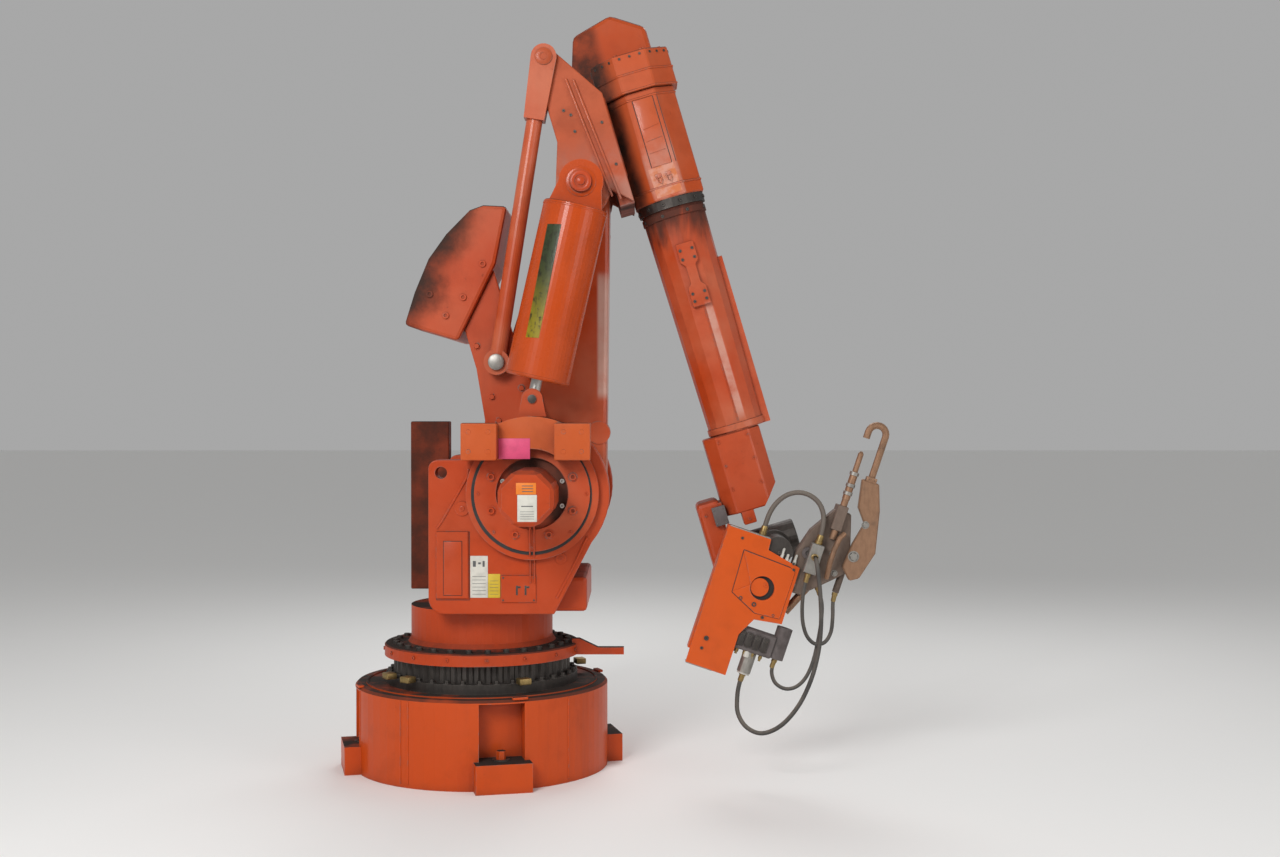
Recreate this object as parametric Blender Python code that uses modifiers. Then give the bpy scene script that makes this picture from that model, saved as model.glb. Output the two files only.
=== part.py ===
"""Six-axis industrial robot: parallelogram arm, two balancing cylinders and a spot-weld gun.

Metres, +Z up. The origin is where the turning axis meets the floor. The arm reaches to +X,
and -Y is the near side. Each arm is modelled straight in its own frame, which is then turned.
"""
from math import acos, asin, cos, pi, radians, sin

import bmesh
import bpy
from mathutils import Vector

# Driving dimensions: the joints
SHOULDER_FORWARD = 0.188
SHOULDER_RISE = 0.3788
LOWER_ARM_LENGTH = 0.98
TUBE_LENGTH = 0.756
HOUSINGS_ALONG_ARM = 0.524
ELBOW_OFFSET = 0.265
CRANK_LENGTH = 0.43
BALANCER_PIN_RISE = 0.294
BALANCER_SIDE = 0.306
LINK_SIDE = 0.184
CRANK_SIDE = 0.135
LOWER_ARM_LEAN = radians(8.9)
UPPER_ARM_LEAN = radians(-16.5)
TOOL_TILT = radians(18.5)
ELBOW_TO_WRIST = TUBE_LENGTH + HOUSINGS_ALONG_ARM

# Fits and cuts
SEAT_GAP = 0.0003
RUNNING_GAP = 0.0006
SIDE_GAP = 0.004
CUT_OVERRUN = 0.02
SOFT_EDGE = 0.004

# Base and slewing ring
DRUM_RADIUS = 0.415
DRUM_HEIGHT = 0.279
FOOT_REACH = 0.457
FOOT_WIDTH = 0.176
FOOT_HEIGHT = 0.09
FOOT_ANGLE = radians(-76)
POCKET_WIDTH = 0.143
POCKET_DEPTH = 0.07
POCKET_ROOF = 0.012
FLOOR_BOLT_RADIUS = 0.015
FLOOR_BOLT_HEIGHT = 0.03
RING_RADIUS = 0.315
RING_HEIGHT = 0.031
GEAR_RADIUS = 0.29
GEAR_HEIGHT = 0.057
GEAR_TEETH = 48
TOOTH_DEPTH = 0.009

# Turret
TURNTABLE_RADIUS = 0.32
TURNTABLE_HEIGHT = 0.038
STOP_REACH = 0.47
STOP_WIDTH = 0.03
STOP_BAR = 0.023
STOP_GUSSET_HEIGHT = 0.052
STOP_GUSSET_REACH = 0.385
NECK_RADIUS = 0.233
NECK_HEIGHT = 0.125
NECK_FLARE = 0.02
FRAME_REAR = 0.13
FRAME_FRONT = 0.355
FRAME_FLOOR_CLEARANCE = 0.0438
RING_LOW = DRUM_HEIGHT + RING_HEIGHT + GEAR_HEIGHT + 2 * SEAT_GAP
NECK_LOW = RING_LOW + TURNTABLE_HEIGHT + SEAT_GAP
FRAME_LOW = NECK_LOW + NECK_HEIGHT + SEAT_GAP
SHOULDER_HEIGHT = FRAME_LOW + SHOULDER_RISE
CHEEK_INSIDE = 0.235
CHEEK_THICKNESS = 0.075
CHEEK_ROUND = 0.24
CHEEK_CORNER = 0.05
CHEEK_REAR = 0.138
CHEEK_TOE = 0.255
EAR_RISE = 0.104
EAR_TOP = SHOULDER_HEIGHT + EAR_RISE
EAR_REACH = 0.10
EAR_CORNER = 0.028
EAR_HOLE = 0.019
EAR_HOLE_INSET = 0.04
PANEL_WIDTH = 0.10
PANEL_HEIGHT = 0.21
PANEL_RELIEF = 0.006
PLATE_WIDTH = 0.11
PLATE_HEIGHT = 0.085
FLANGE_RADIUS = 0.207
FLANGE_STEP_RADIUS = 0.18
FLANGE_THICKNESS = 0.03
FLANGE_STEP = 0.008
MOTOR_SEAT_RADIUS = 0.112
MOTOR_SEAT_DEPTH = 0.018
MOTOR_FLATS = 0.165
MOTOR_LENGTH = 0.30
MOTOR_CHAMFER = 0.012
SHOULDER_SHAFT_RADIUS = 0.085
BEAM_REAR = 0.212
BEAM_FRONT = 0.183
BEAM_BLOCK = 0.11
BEAM_LOW = 0.106
BEAM_HIGH = 0.22
BEAM_DEPTH = 0.09
BEAM_WEB = 0.04
EYE_RADIUS = 0.033
EYE_THICKNESS = 0.036
EYE_PIN_RADIUS = 0.013
BRACKET_EAR = 0.014
CABLE_BOX_REAR = 0.27
CABLE_BOX_FOOT = 0.0188
CABLE_BOX_HEIGHT = 0.58

# Lower arm, elbow pin, crank, tie rod
ARM_HUB_RADIUS = 0.225
ARM_TOP_RADIUS = 0.085
ARM_HALF_WIDTH = 0.11
LUG_FORWARD = 0.17
LUG_RISE = 0.215
LUG_RADIUS = 0.037
ELBOW_PIN_RADIUS = 0.034
ELBOW_PIN_HALF = 0.345
CRANK_THICKNESS = 0.036
CRANK_HUB_RADIUS = 0.125
CRANK_HALF_WIDTH = 0.072
CRANK_BOSS_RADIUS = 0.04
CRANK_PIN_RADIUS = 0.021
CRANK_PIN_CAP = 0.008
WEIGHT_HALF_WIDTH = 0.18
WEIGHT_PAST_PIN = 0.495
WEIGHT_REACH = CRANK_LENGTH + WEIGHT_PAST_PIN
ROD_RADIUS = 0.026
ROD_HEAD_RADIUS = 0.041
ROD_EYE_THICKNESS = 0.044
ROD_FORK_EAR = 0.014
ROD_HEAD_LENGTH = 0.2
ROD_SLOT = 0.17
LEVER_RADIUS = 0.036
LEVER_FLARE = 0.16
LEVER_THICKNESS = 0.036

# Balancing cylinders
BALANCER_RADIUS = 0.101
BALANCER_BORE = 0.085
BALANCER_MOUTH = 0.064
BALANCER_WALL_END = 0.012
BALANCER_TOP_DROP = 0.075
BALANCER_FOOT_RISE = 0.062
BALANCER_EAR_RADIUS = 0.07
BALANCER_EAR_THICKNESS = 0.05
PISTON_RADIUS = 0.018
PISTON_LENGTH = 0.33

# Upper arm
ELBOW_CHEEK_RADIUS = 0.09
ELBOW_BOSS_RADIUS = 0.06
BRIDGE_DEPTH = 0.05
BRIDGE_LOW = 0.09
BRIDGE_STEP = 0.18
BRIDGE_HIGH = 0.27
HOUSING_HALF = 0.115
HOUSING_BACK = 0.385
HOUSING_FRONT = 0.10
RIM_HALF = 0.13
RIM_LENGTH = 0.125
FAR_COVER_LOW = 0.08
FAR_COVER_HIGH = 0.36
FAR_COVER_FRONT = 0.20
FAR_COVER_BACK = 0.58
FAR_COVER_FAR = 0.30
COLLAR_RADIUS = 0.112
COLLAR_LENGTH = 0.03

# Forearm and wrist
TUBE_RADIUS = 0.104
TUBE_END_RADIUS = 0.092
WRIST_HALF = 0.095
WRIST_SHIFT = 0.026
WRIST_HOUSING_LENGTH = 0.26
WRIST_CHAMFER = 0.04
LEG_OUT = 0.205
LEG_IN = 0.128
LEG_HALF = 0.07
LEG_BACK = 0.20
LEG_FRONT = 0.075
TRAY_WIDTH = 0.06
TRAY_THICKNESS = 0.018
TILT_RADIUS = 0.062
TILT_HALF = 0.088
TILT_NOSE = 0.10
NOSE_RADIUS = 0.05
TOOL_FLANGE_RADIUS = 0.055
TOOL_FLANGE_THICKNESS = 0.03
ADAPTER_RADIUS = 0.045
BRACKET_FACE = 0.285
BRACKET_THICKNESS = 0.012
GUN_THICKNESS = 0.055
C_FRAME_THICKNESS = 0.027
GUIDE_X = 0.148
GUIDE_LOW = 0.12
GUIDE_HIGH = 0.20
GUIDE_HALF = 0.017
ELECTRODE_RADIUS = 0.011
ELECTRODE_TIP = 0.38
ELECTRODE_TAIL = 0.09
HOOK_SHANK_X = 0.204
HOOK_TOP = 0.474
HOOK_END = 0.424

# Side outline of the gun bracket, as shares of its width and height from its top left corner
BRACKET_LEFT = 0.174
BRACKET_WIDTH = 0.257
BRACKET_HEIGHT = 0.452
BRACKET_TOP = 0.03
BRACKET_SHARES = [(0, 0), (0.545, 0), (0.56, 0.08), (0.99, 0.13), (1, 0.54), (0.66, 0.57),
                  (0.54, 0.7), (0.545, 1), (0.03, 1)]
BRACKET_HOLE = 0.038
BRACKET_HOLE_SHARES = (0.634, 0.345)
BRACKET_LIP = 0.05

PAINT = (0.72, 0.17, 0.03)
TOOL_PAINT = (0.86, 0.27, 0.03)
DARK_STEEL = (0.06, 0.055, 0.05)
STEEL = (0.45, 0.43, 0.40)
COPPER = (0.42, 0.25, 0.16)
RUBBER = (0.05, 0.05, 0.05)


def clear_scene():
    """Remove what the scene holds, so that a second run starts clean."""
    for old in list(bpy.data.objects):
        bpy.data.objects.remove(old, do_unlink=True)


def new_collection(name):
    """Add a collection to the scene and return it."""
    made = bpy.data.collections.new(name)
    bpy.context.scene.collection.children.link(made)
    return made


def joint_frame(name, place, turn=0.0):
    """Add an empty on a joint's axis, turned about Y."""
    empty = bpy.data.objects.new(name, None)
    empty.location = place
    empty.rotation_euler = (0, turn, 0)
    PARTS.objects.link(empty)
    return empty


def shape(name, mesh, frame):
    """Make an object of a mesh in a joint's frame."""
    made = bpy.data.objects.new(name, mesh)
    made.parent = frame
    PARTS.objects.link(made)
    return made


def from_bmesh(name, work, frame):
    """Turn a finished bmesh into an object."""
    work.normal_update()
    bmesh.ops.recalc_face_normals(work, faces=work.faces)
    mesh = bpy.data.meshes.new(name)
    work.to_mesh(mesh)
    work.free()
    return shape(name, mesh, frame)


def block(name, low, high, frame=None):
    """A box from its low corner to its high corner."""
    work = bmesh.new()
    bmesh.ops.create_cube(work, size=1)
    low, high = Vector(low), Vector(high)
    for vert in work.verts:
        vert.co = (low + high) / 2 + vert.co * (high - low)
    return from_bmesh(name, work, frame)


def rod(name, start, end, radius, frame=None, sides=24, end_radius=None):
    """A round bar, or a cone, between two points."""
    start, end = Vector(start), Vector(end)
    work = bmesh.new()
    bmesh.ops.create_cone(
        work, cap_ends=True, segments=sides, radius1=radius,
        radius2=radius if end_radius is None else end_radius, depth=(end - start).length)
    turn = (end - start).to_track_quat("Z", "Y").to_matrix()
    for vert in work.verts:
        vert.co = (start + end) / 2 + turn @ vert.co
    made = from_bmesh(name, work, frame)
    smooth(made)
    return made


def from_curve(name, curve, frame):
    """Turn a curve into a welded mesh object."""
    holder = bpy.data.objects.new(name, curve)
    PARTS.objects.link(holder)
    evaluated = holder.evaluated_get(bpy.context.evaluated_depsgraph_get())
    mesh = bpy.data.meshes.new_from_object(evaluated)
    bpy.data.objects.remove(holder)
    work = bmesh.new()
    work.from_mesh(mesh)
    bmesh.ops.remove_doubles(work, verts=work.verts, dist=SEAT_GAP / 10)
    bmesh.ops.dissolve_limit(work, angle_limit=radians(1), verts=work.verts, edges=work.edges)
    return from_bmesh(name, work, frame)


def plate(name, outline, low_y, high_y, frame=None):
    """A flat piece: an outline of (x, z) points, from low_y to high_y."""
    curve = bpy.data.curves.new(name, "CURVE")
    curve.dimensions = "2D"
    curve.fill_mode = "BOTH"
    curve.extrude = (high_y - low_y) / 2
    line = curve.splines.new("POLY")
    line.points.add(len(outline) - 1)
    for point, (x, z) in zip(line.points, outline):
        point.co = (x, z, 0, 1)
    line.use_cyclic_u = True
    made = from_curve(name, curve, frame)
    for vert in made.data.vertices:
        x, z, y = vert.co
        vert.co = (x, (low_y + high_y) / 2 - y, z)
    return made


def turned(name, profile, place, axis, frame=None, steps=48):
    """A turned solid: (radius, height) points, outer side from top to bottom, about an axis."""
    mesh = bpy.data.meshes.new(name)
    closed = profile[0][0] > 0
    count = len(profile)
    edges = [(i, i + 1) for i in range(count - 1)]
    if closed:
        edges.append((count - 1, 0))
    mesh.from_pydata([(radius, 0, height) for radius, height in profile], edges, [])
    made = shape(name, mesh, frame)
    made.location = place
    made.rotation_euler = Vector(axis).to_track_quat("Z", "Y").to_euler()
    screw = made.modifiers.new("turn", "SCREW")
    screw.steps = steps
    screw.render_steps = steps
    screw.use_merge_vertices = True
    screw.merge_threshold = SEAT_GAP / 10
    screw.use_smooth_shade = False
    return made


def smooth(made):
    """Shade round sides smooth and keep the edges sharp."""
    made.data.shade_smooth()
    made.data.set_sharp_from_angle(angle=radians(35))


def soften(made, width=None, segments=2):
    """Round the edges of a casting."""
    bevel = made.modifiers.new("rounded edges", "BEVEL")
    bevel.width = SOFT_EDGE if width is None else width
    bevel.segments = segments
    bevel.limit_method = "ANGLE"
    bevel.angle_limit = radians(40)
    return made


def combine(made, operation, tools):
    """Join or cut with the tools, which stay in the cutters' collection."""
    for tool in tools:
        step = made.modifiers.new(operation.lower(), "BOOLEAN")
        step.operation = operation
        step.solver = "EXACT"
        step.object = tool
        PARTS.objects.unlink(tool)
        CUTTERS.objects.link(tool)
        tool.hide_render = True
        tool.display_type = "WIRE"
    return made


def joined(made, *tools):
    """Add solids to a solid."""
    return combine(made, "UNION", tools)


def cut(made, *tools):
    """Take solids out of a solid."""
    return combine(made, "DIFFERENCE", tools)


def paint(made, colour, roughness=0.45, metallic=0.0):
    """Give a piece its own material."""
    finish = bpy.data.materials.new(made.name)
    finish.use_nodes = True
    shader = finish.node_tree.nodes["Principled BSDF"]
    shader.inputs["Base Color"].default_value = (*colour, 1)
    shader.inputs["Roughness"].default_value = roughness
    shader.inputs["Metallic"].default_value = metallic
    made.data.materials.clear()
    made.data.materials.append(finish)
    return made


def arc(x, z, radius, start, end, steps):
    """Points on an arc about (x, z), with its angles in degrees from +X towards +Z."""
    turns = [radians(start + (end - start) * i / steps) for i in range(steps + 1)]
    return [(x + radius * cos(turn), z + radius * sin(turn)) for turn in turns]


def belt(low_radius, high_radius, length, steps=12):
    """Outline round two circles, the second one a length above the first."""
    lean = 90 - acos((low_radius - high_radius) / length) * 180 / pi
    top = arc(0, length, high_radius, lean, 180 - lean, steps)
    return top + arc(0, 0, low_radius, 180 - lean, 360 + lean, 2 * steps)


def ngon(x, y, flats, sides):
    """Corners of a regular shape that measures flats from side to side."""
    radius = flats / 2 / cos(pi / sides)
    turns = [pi / sides + 2 * pi * i / sides for i in range(sides)]
    return [(x + radius * cos(turn), y + radius * sin(turn)) for turn in turns]


def base_drum():
    """The round base casting, with four bolted feet in pockets."""
    edge = SOFT_EDGE * 2
    drum = turned("base_drum", [
        (0, DRUM_HEIGHT), (DRUM_RADIUS - edge, DRUM_HEIGHT), (DRUM_RADIUS, DRUM_HEIGHT - edge),
        (DRUM_RADIUS, 0), (0, 0)], (0, 0, 0), (0, 0, 1), steps=72)
    for number in range(4):
        turn = FOOT_ANGLE + number * pi / 2
        foot = block("foot", (DRUM_RADIUS - POCKET_DEPTH - CUT_OVERRUN, -FOOT_WIDTH / 2, 0),
                     (FOOT_REACH, FOOT_WIDTH / 2, FOOT_HEIGHT))
        pocket = block("pocket", (DRUM_RADIUS - POCKET_DEPTH, -POCKET_WIDTH / 2, FOOT_HEIGHT),
                       (FOOT_REACH + CUT_OVERRUN, POCKET_WIDTH / 2, DRUM_HEIGHT - POCKET_ROOF))
        bolt_at = DRUM_RADIUS - POCKET_DEPTH / 3
        bolt = rod("floor_bolt", (bolt_at, 0, FOOT_HEIGHT - CUT_OVERRUN),
                   (bolt_at, 0, FOOT_HEIGHT + FLOOR_BOLT_HEIGHT), FLOOR_BOLT_RADIUS, sides=6)
        for piece in (foot, pocket, bolt):
            piece.rotation_euler = (0, 0, turn)
        joined(drum, foot)
        cut(drum, pocket)
        joined(drum, bolt)
    paint(drum, PAINT)


def slewing_ring():
    """The fixed bearing ring and its toothed rim, which stays with the base."""
    low = DRUM_HEIGHT + SEAT_GAP
    ring = turned("slewing_ring", [
        (0, low + RING_HEIGHT), (RING_RADIUS, low + RING_HEIGHT), (RING_RADIUS, low), (0, low)],
        (0, 0, 0), (0, 0, 1), steps=64)
    outline = []
    for tooth in range(GEAR_TEETH):
        for step_share, radius in ((0.1, GEAR_RADIUS), (0.4, GEAR_RADIUS),
                                   (0.6, GEAR_RADIUS - TOOTH_DEPTH), (0.9, GEAR_RADIUS - TOOTH_DEPTH)):
            turn = 2 * pi * (tooth + step_share) / GEAR_TEETH
            outline.append((radius * cos(turn), radius * sin(turn)))
    gear = plate("teeth", outline, -(low + RING_HEIGHT + GEAR_HEIGHT), -low - RING_HEIGHT / 2)
    gear.rotation_euler = (-pi / 2, 0, 0)
    joined(ring, gear)
    paint(ring, DARK_STEEL, 0.5, 0.6)


def turntable():
    """The turning ring with its stop arm, and the neck that carries the frame."""
    ring = turned("turntable_ring", [
        (0, RING_LOW + TURNTABLE_HEIGHT), (TURNTABLE_RADIUS - SOFT_EDGE, RING_LOW + TURNTABLE_HEIGHT),
        (TURNTABLE_RADIUS, RING_LOW + TURNTABLE_HEIGHT - SOFT_EDGE), (TURNTABLE_RADIUS, RING_LOW),
        (0, RING_LOW)], (0, 0, 0), (0, 0, 1), steps=64)
    root = TURNTABLE_RADIUS - CUT_OVERRUN
    stop = plate("stop_arm", [
        (root, RING_LOW), (STOP_REACH, RING_LOW), (STOP_REACH, RING_LOW + STOP_BAR),
        (STOP_GUSSET_REACH, RING_LOW + STOP_BAR),
        (TURNTABLE_RADIUS + SOFT_EDGE, RING_LOW + STOP_GUSSET_HEIGHT),
        (root, RING_LOW + STOP_GUSSET_HEIGHT)], -STOP_WIDTH * 2, -STOP_WIDTH)
    joined(ring, stop)
    paint(ring, PAINT)
    neck = turned("turret_neck", [
        (0, NECK_LOW + NECK_HEIGHT), (NECK_RADIUS, NECK_LOW + NECK_HEIGHT),
        (NECK_RADIUS, NECK_LOW + NECK_FLARE), (NECK_RADIUS + NECK_FLARE / 2, NECK_LOW + NECK_FLARE / 4),
        (NECK_RADIUS + NECK_FLARE, NECK_LOW), (0, NECK_LOW)], (0, 0, 0), (0, 0, 1), steps=56)
    paint(neck, PAINT)


def frame_floor():
    """The casting between the cheeks, with a shaft seat on each side."""
    floor_high = SHOULDER_HEIGHT - ARM_HUB_RADIUS - FRAME_FLOOR_CLEARANCE
    floor = block("frame_floor", (-FRAME_REAR, -CHEEK_INSIDE + SEAT_GAP, FRAME_LOW),
                  (FRAME_FRONT, CHEEK_INSIDE - SEAT_GAP, floor_high))
    soften(floor, SOFT_EDGE * 3)
    paint(floor, PAINT)


def cheek_outline():
    """Side view of a cheek: a round top about the shoulder, a lifting ear and a flat foot."""
    low = FRAME_LOW
    x, z = SHOULDER_FORWARD, SHOULDER_HEIGHT
    ear_left = -CHEEK_REAR + EAR_CORNER
    points = [(CHEEK_TOE, low)]
    points += arc(x, z, CHEEK_ROUND, -40, 128, 22)
    points += [(-CHEEK_REAR + EAR_REACH, EAR_TOP)]
    points += arc(ear_left, EAR_TOP - EAR_CORNER, EAR_CORNER, 90, 180, 5)
    points += arc(-CHEEK_REAR + CHEEK_CORNER, low + CHEEK_CORNER, CHEEK_CORNER, 180, 270, 6)
    return points


def cheek(side_name, side):
    """One side of the turret frame, with its lifting ear and raised panels."""
    inner = side * CHEEK_INSIDE
    outer = side * (CHEEK_INSIDE + CHEEK_THICKNESS)
    made = plate(side_name + "_cheek", cheek_outline(), min(inner, outer), max(inner, outer))
    soften(made, SOFT_EDGE)
    low = FRAME_LOW
    ear = (-CHEEK_REAR + EAR_HOLE_INSET, EAR_TOP - EAR_HOLE_INSET)
    hole = rod("ear_hole", (ear[0], inner - side * CUT_OVERRUN, ear[1]),
               (ear[0], outer + side * CUT_OVERRUN, ear[1]), EAR_HOLE, sides=20)
    shaft = rod("shaft_hole", (SHOULDER_FORWARD, inner - side * CUT_OVERRUN, SHOULDER_HEIGHT),
                (SHOULDER_FORWARD, outer + side * CUT_OVERRUN, SHOULDER_HEIGHT),
                SHOULDER_SHAFT_RADIUS + RUNNING_GAP, sides=40)
    cut(made, hole, shaft)
    raised = outer + side * PANEL_RELIEF
    inset = outer - side * CUT_OVERRUN
    left = -CHEEK_REAR + CHEEK_CORNER / 2
    bottom = low + CHEEK_CORNER
    panel = block("panel", (left, min(inset, raised), bottom),
                  (left + PANEL_WIDTH, max(inset, raised), bottom + PANEL_HEIGHT))
    middle = SHOULDER_FORWARD - PLATE_WIDTH * 0.4
    badge = block("plate", (middle - PLATE_WIDTH / 2, min(inset, raised), bottom - CHEEK_CORNER / 4),
                  (middle + PLATE_WIDTH / 2, max(inset, raised), bottom - CHEEK_CORNER / 4 + PLATE_HEIGHT))
    joined(made, soften(panel, SOFT_EDGE / 2, 1), soften(badge, SOFT_EDGE / 2, 1))
    paint(made, PAINT)


def gearbox(side_name, side):
    """The gearbox flange on a cheek, with the motor that stands in its recess."""
    seat = CHEEK_INSIDE + CHEEK_THICKNESS + SEAT_GAP
    face = FLANGE_THICKNESS
    flange = turned(side_name + "_gearbox_flange", [
        (0, face - MOTOR_SEAT_DEPTH), (MOTOR_SEAT_RADIUS, face - MOTOR_SEAT_DEPTH),
        (MOTOR_SEAT_RADIUS, face), (FLANGE_STEP_RADIUS, face),
        (FLANGE_STEP_RADIUS, face - FLANGE_STEP), (FLANGE_RADIUS, face - FLANGE_STEP),
        (FLANGE_RADIUS, 0), (0, 0)],
        (SHOULDER_FORWARD, side * seat, SHOULDER_HEIGHT), (0, side, 0), steps=56)
    paint(flange, PAINT)
    start = seat + face - MOTOR_SEAT_DEPTH + SEAT_GAP
    low, high = sorted((side * start, side * (start + MOTOR_LENGTH)))
    motor = plate(side_name + "_motor", ngon(SHOULDER_FORWARD, SHOULDER_HEIGHT, MOTOR_FLATS, 8),
                  low, high)
    soften(motor, MOTOR_CHAMFER, 1)
    paint(motor, PAINT)


def buffer_beam(side_name, side):
    """The curved beam with two end blocks, in front of the gearbox flange."""
    x, z = SHOULDER_FORWARD, SHOULDER_HEIGHT
    seat = CHEEK_INSIDE + CHEEK_THICKNESS + FLANGE_THICKNESS + 2 * SEAT_GAP
    near, far = side * seat, side * (seat + BEAM_WEB)
    end = side * (seat + BEAM_DEPTH)
    lowest = z + BEAM_LOW
    web = plate(side_name + "_buffer_beam",
                [(x - BEAM_REAR, lowest), (x + BEAM_FRONT, lowest), (x + BEAM_FRONT, z + BEAM_HIGH)]
                + arc(x, z, CHEEK_ROUND, 66, 114, 8) + [(x - BEAM_REAR, z + BEAM_HIGH)],
                min(near, far), max(near, far))
    hollow = rod("beam_hollow", (x, near - side * CUT_OVERRUN, z), (x, far + side * CUT_OVERRUN, z),
                 MOTOR_FLATS * 0.85, sides=48)
    rear = block("rear_block", (x - BEAM_REAR, min(near, end), lowest),
                 (x - BEAM_REAR + BEAM_BLOCK, max(near, end), z + BEAM_HIGH))
    front = block("front_block", (x + BEAM_FRONT - BEAM_BLOCK, min(near, end), lowest),
                  (x + BEAM_FRONT, max(near, end), z + BEAM_HIGH))
    cut(web, hollow)
    joined(web, soften(rear), soften(front))
    paint(web, PAINT)


def balancer_bracket(side_name, side):
    """The fork on top of a cheek that holds the foot of a balancing cylinder."""
    x, z = SHOULDER_FORWARD, SHOULDER_HEIGHT + BALANCER_PIN_RISE
    y = side * BALANCER_SIDE
    seat = SHOULDER_HEIGHT + CHEEK_ROUND + SEAT_GAP
    inside = EYE_THICKNESS / 2 + SIDE_GAP / 2
    outside = inside + BRACKET_EAR
    half = EYE_RADIUS
    outline = [(x - half * 1.3, seat), (x + half * 1.3, seat)] + arc(x, z, half, 0, 180, 10)
    fork = plate(side_name + "_balancer_bracket", outline, y - outside, y + outside)
    slot = block("slot", (x - half * 3, y - inside, seat + SOFT_EDGE * 3),
                 (x + half * 3, y + inside, z + half * 2))
    pin = rod("pin", (x, y - outside - SOFT_EDGE, z), (x, y + outside + SOFT_EDGE, z), EYE_PIN_RADIUS)
    cut(fork, slot)
    joined(fork, pin)
    paint(fork, PAINT)


def rear_cable_box():
    """The connector box on the rear edge of the far cheek."""
    low = FRAME_LOW + CABLE_BOX_FOOT
    box = block("rear_cable_box", (-CABLE_BOX_REAR, CHEEK_INSIDE, low),
                (-CHEEK_REAR - SEAT_GAP, CHEEK_INSIDE + CHEEK_THICKNESS, low + CABLE_BOX_HEIGHT))
    soften(box)
    paint(box, PAINT)


def column(name, outline, low_z, high_z, frame=None):
    """An upright piece: an outline of (x, y) points, from low_z to high_z."""
    made = plate(name, outline, low_z, high_z, frame)
    for vert in made.data.vertices:
        x, z, y = vert.co
        vert.co = (x, y, z)
    made.data.flip_normals()
    return made


def elbow_place():
    """Where the elbow's axis crosses the middle plane."""
    return (SHOULDER_FORWARD + LOWER_ARM_LENGTH * sin(LOWER_ARM_LEAN), 0,
            SHOULDER_HEIGHT + LOWER_ARM_LENGTH * cos(LOWER_ARM_LEAN))


def lower_arm(frame):
    """The tapered lower arm casting, with its far shaft and its front lug."""
    half = ARM_HALF_WIDTH
    arm = plate("lower_arm", belt(ARM_HUB_RADIUS, ARM_TOP_RADIUS, LOWER_ARM_LENGTH), -half, half, frame)
    soften(arm, SOFT_EDGE * 3)
    shaft_end = CHEEK_INSIDE + CHEEK_THICKNESS
    shaft = rod("shaft", (0, half - CUT_OVERRUN, 0), (0, shaft_end, 0), SHOULDER_SHAFT_RADIUS, frame, 40)
    lug = rod("lug", (LUG_FORWARD, 0, LUG_RISE), (LUG_FORWARD, -half - SOFT_EDGE, LUG_RISE),
              LUG_RADIUS, frame)
    hole = rod("pin_hole", (0, -half - CUT_OVERRUN, LOWER_ARM_LENGTH),
               (0, half + CUT_OVERRUN, LOWER_ARM_LENGTH), ELBOW_PIN_RADIUS + RUNNING_GAP, frame, 32)
    joined(arm, shaft, lug)
    cut(arm, hole)
    paint(arm, PAINT)


def elbow_pin(frame):
    """The long pin through the elbow, which also carries the balancing cylinders."""
    pin = rod("elbow_pin", (0, -ELBOW_PIN_HALF, 0), (0, ELBOW_PIN_HALF, 0), ELBOW_PIN_RADIUS, frame, 32)
    soften(pin, SOFT_EDGE, 1)
    paint(pin, PAINT)


def weight_outline():
    """The counterweight's side view, in the crank's frame: shares of its reach."""
    shares = [(-0.10919, 0.57405), (0.09189, 0.79351), (0.18595, 0.97297), (0.10811, 1.0),
              (0.05838, 0.99676), (-0.04324, 0.94054), (-0.12649, 0.87568), (-0.20541, 0.77838),
              (-0.27135, 0.68)]
    return [(WEIGHT_REACH * x_share, WEIGHT_REACH * z_share) for x_share, z_share in shares]


def crank(frame):
    """The crank that turns with the upper arm, its shaft, and the counterweight on its end."""
    near = -CRANK_SIDE - CRANK_THICKNESS / 2
    far = -CRANK_SIDE + CRANK_THICKNESS / 2
    outline = weight_outline()
    (low_x, low_z), (high_x, high_z) = outline[0], outline[1]
    slope = (high_z - low_z) / (high_x - low_x)

    def under_weight(x):
        return low_z + (x - low_x) * slope - RUNNING_GAP

    left, right = -CRANK_HALF_WIDTH, CRANK_HALF_WIDTH
    points = arc(0, 0, CRANK_HUB_RADIUS, 170, 370, 16)
    points += [(right, CRANK_LENGTH), (right, under_weight(right)), (left, under_weight(left)),
               (left, CRANK_LENGTH)]
    arm = plate("crank_arm", points, near, far, frame)
    soften(arm, SOFT_EDGE)
    shaft = rod("shaft", (0, far - SOFT_EDGE, 0), (0, -CHEEK_INSIDE - CHEEK_THICKNESS, 0),
                SHOULDER_SHAFT_RADIUS, frame, 40)
    boss = rod("boss", (0, far - SOFT_EDGE, CRANK_LENGTH), (0, near - CRANK_PIN_CAP / 4, CRANK_LENGTH),
               CRANK_BOSS_RADIUS, frame)
    hole = rod("hole", (0, far + CUT_OVERRUN, CRANK_LENGTH), (0, near - CUT_OVERRUN, CRANK_LENGTH),
               CRANK_PIN_RADIUS + RUNNING_GAP, frame)
    joined(arm, shaft, boss)
    cut(arm, hole)
    paint(arm, PAINT)
    weight = plate("counterweight", outline, -WEIGHT_HALF_WIDTH, WEIGHT_HALF_WIDTH, frame)
    soften(weight, SOFT_EDGE * 3)
    paint(weight, PAINT)


def crank_pin(frame):
    """The pin between the crank and the tie rod."""
    near = -LINK_SIDE - ROD_EYE_THICKNESS / 2 - CRANK_PIN_CAP
    far = -CRANK_SIDE + CRANK_THICKNESS / 2
    pin = rod("crank_pin", (0, near, 0), (0, far, 0), CRANK_PIN_RADIUS, frame)
    paint(pin, STEEL, 0.4, 0.8)


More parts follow.
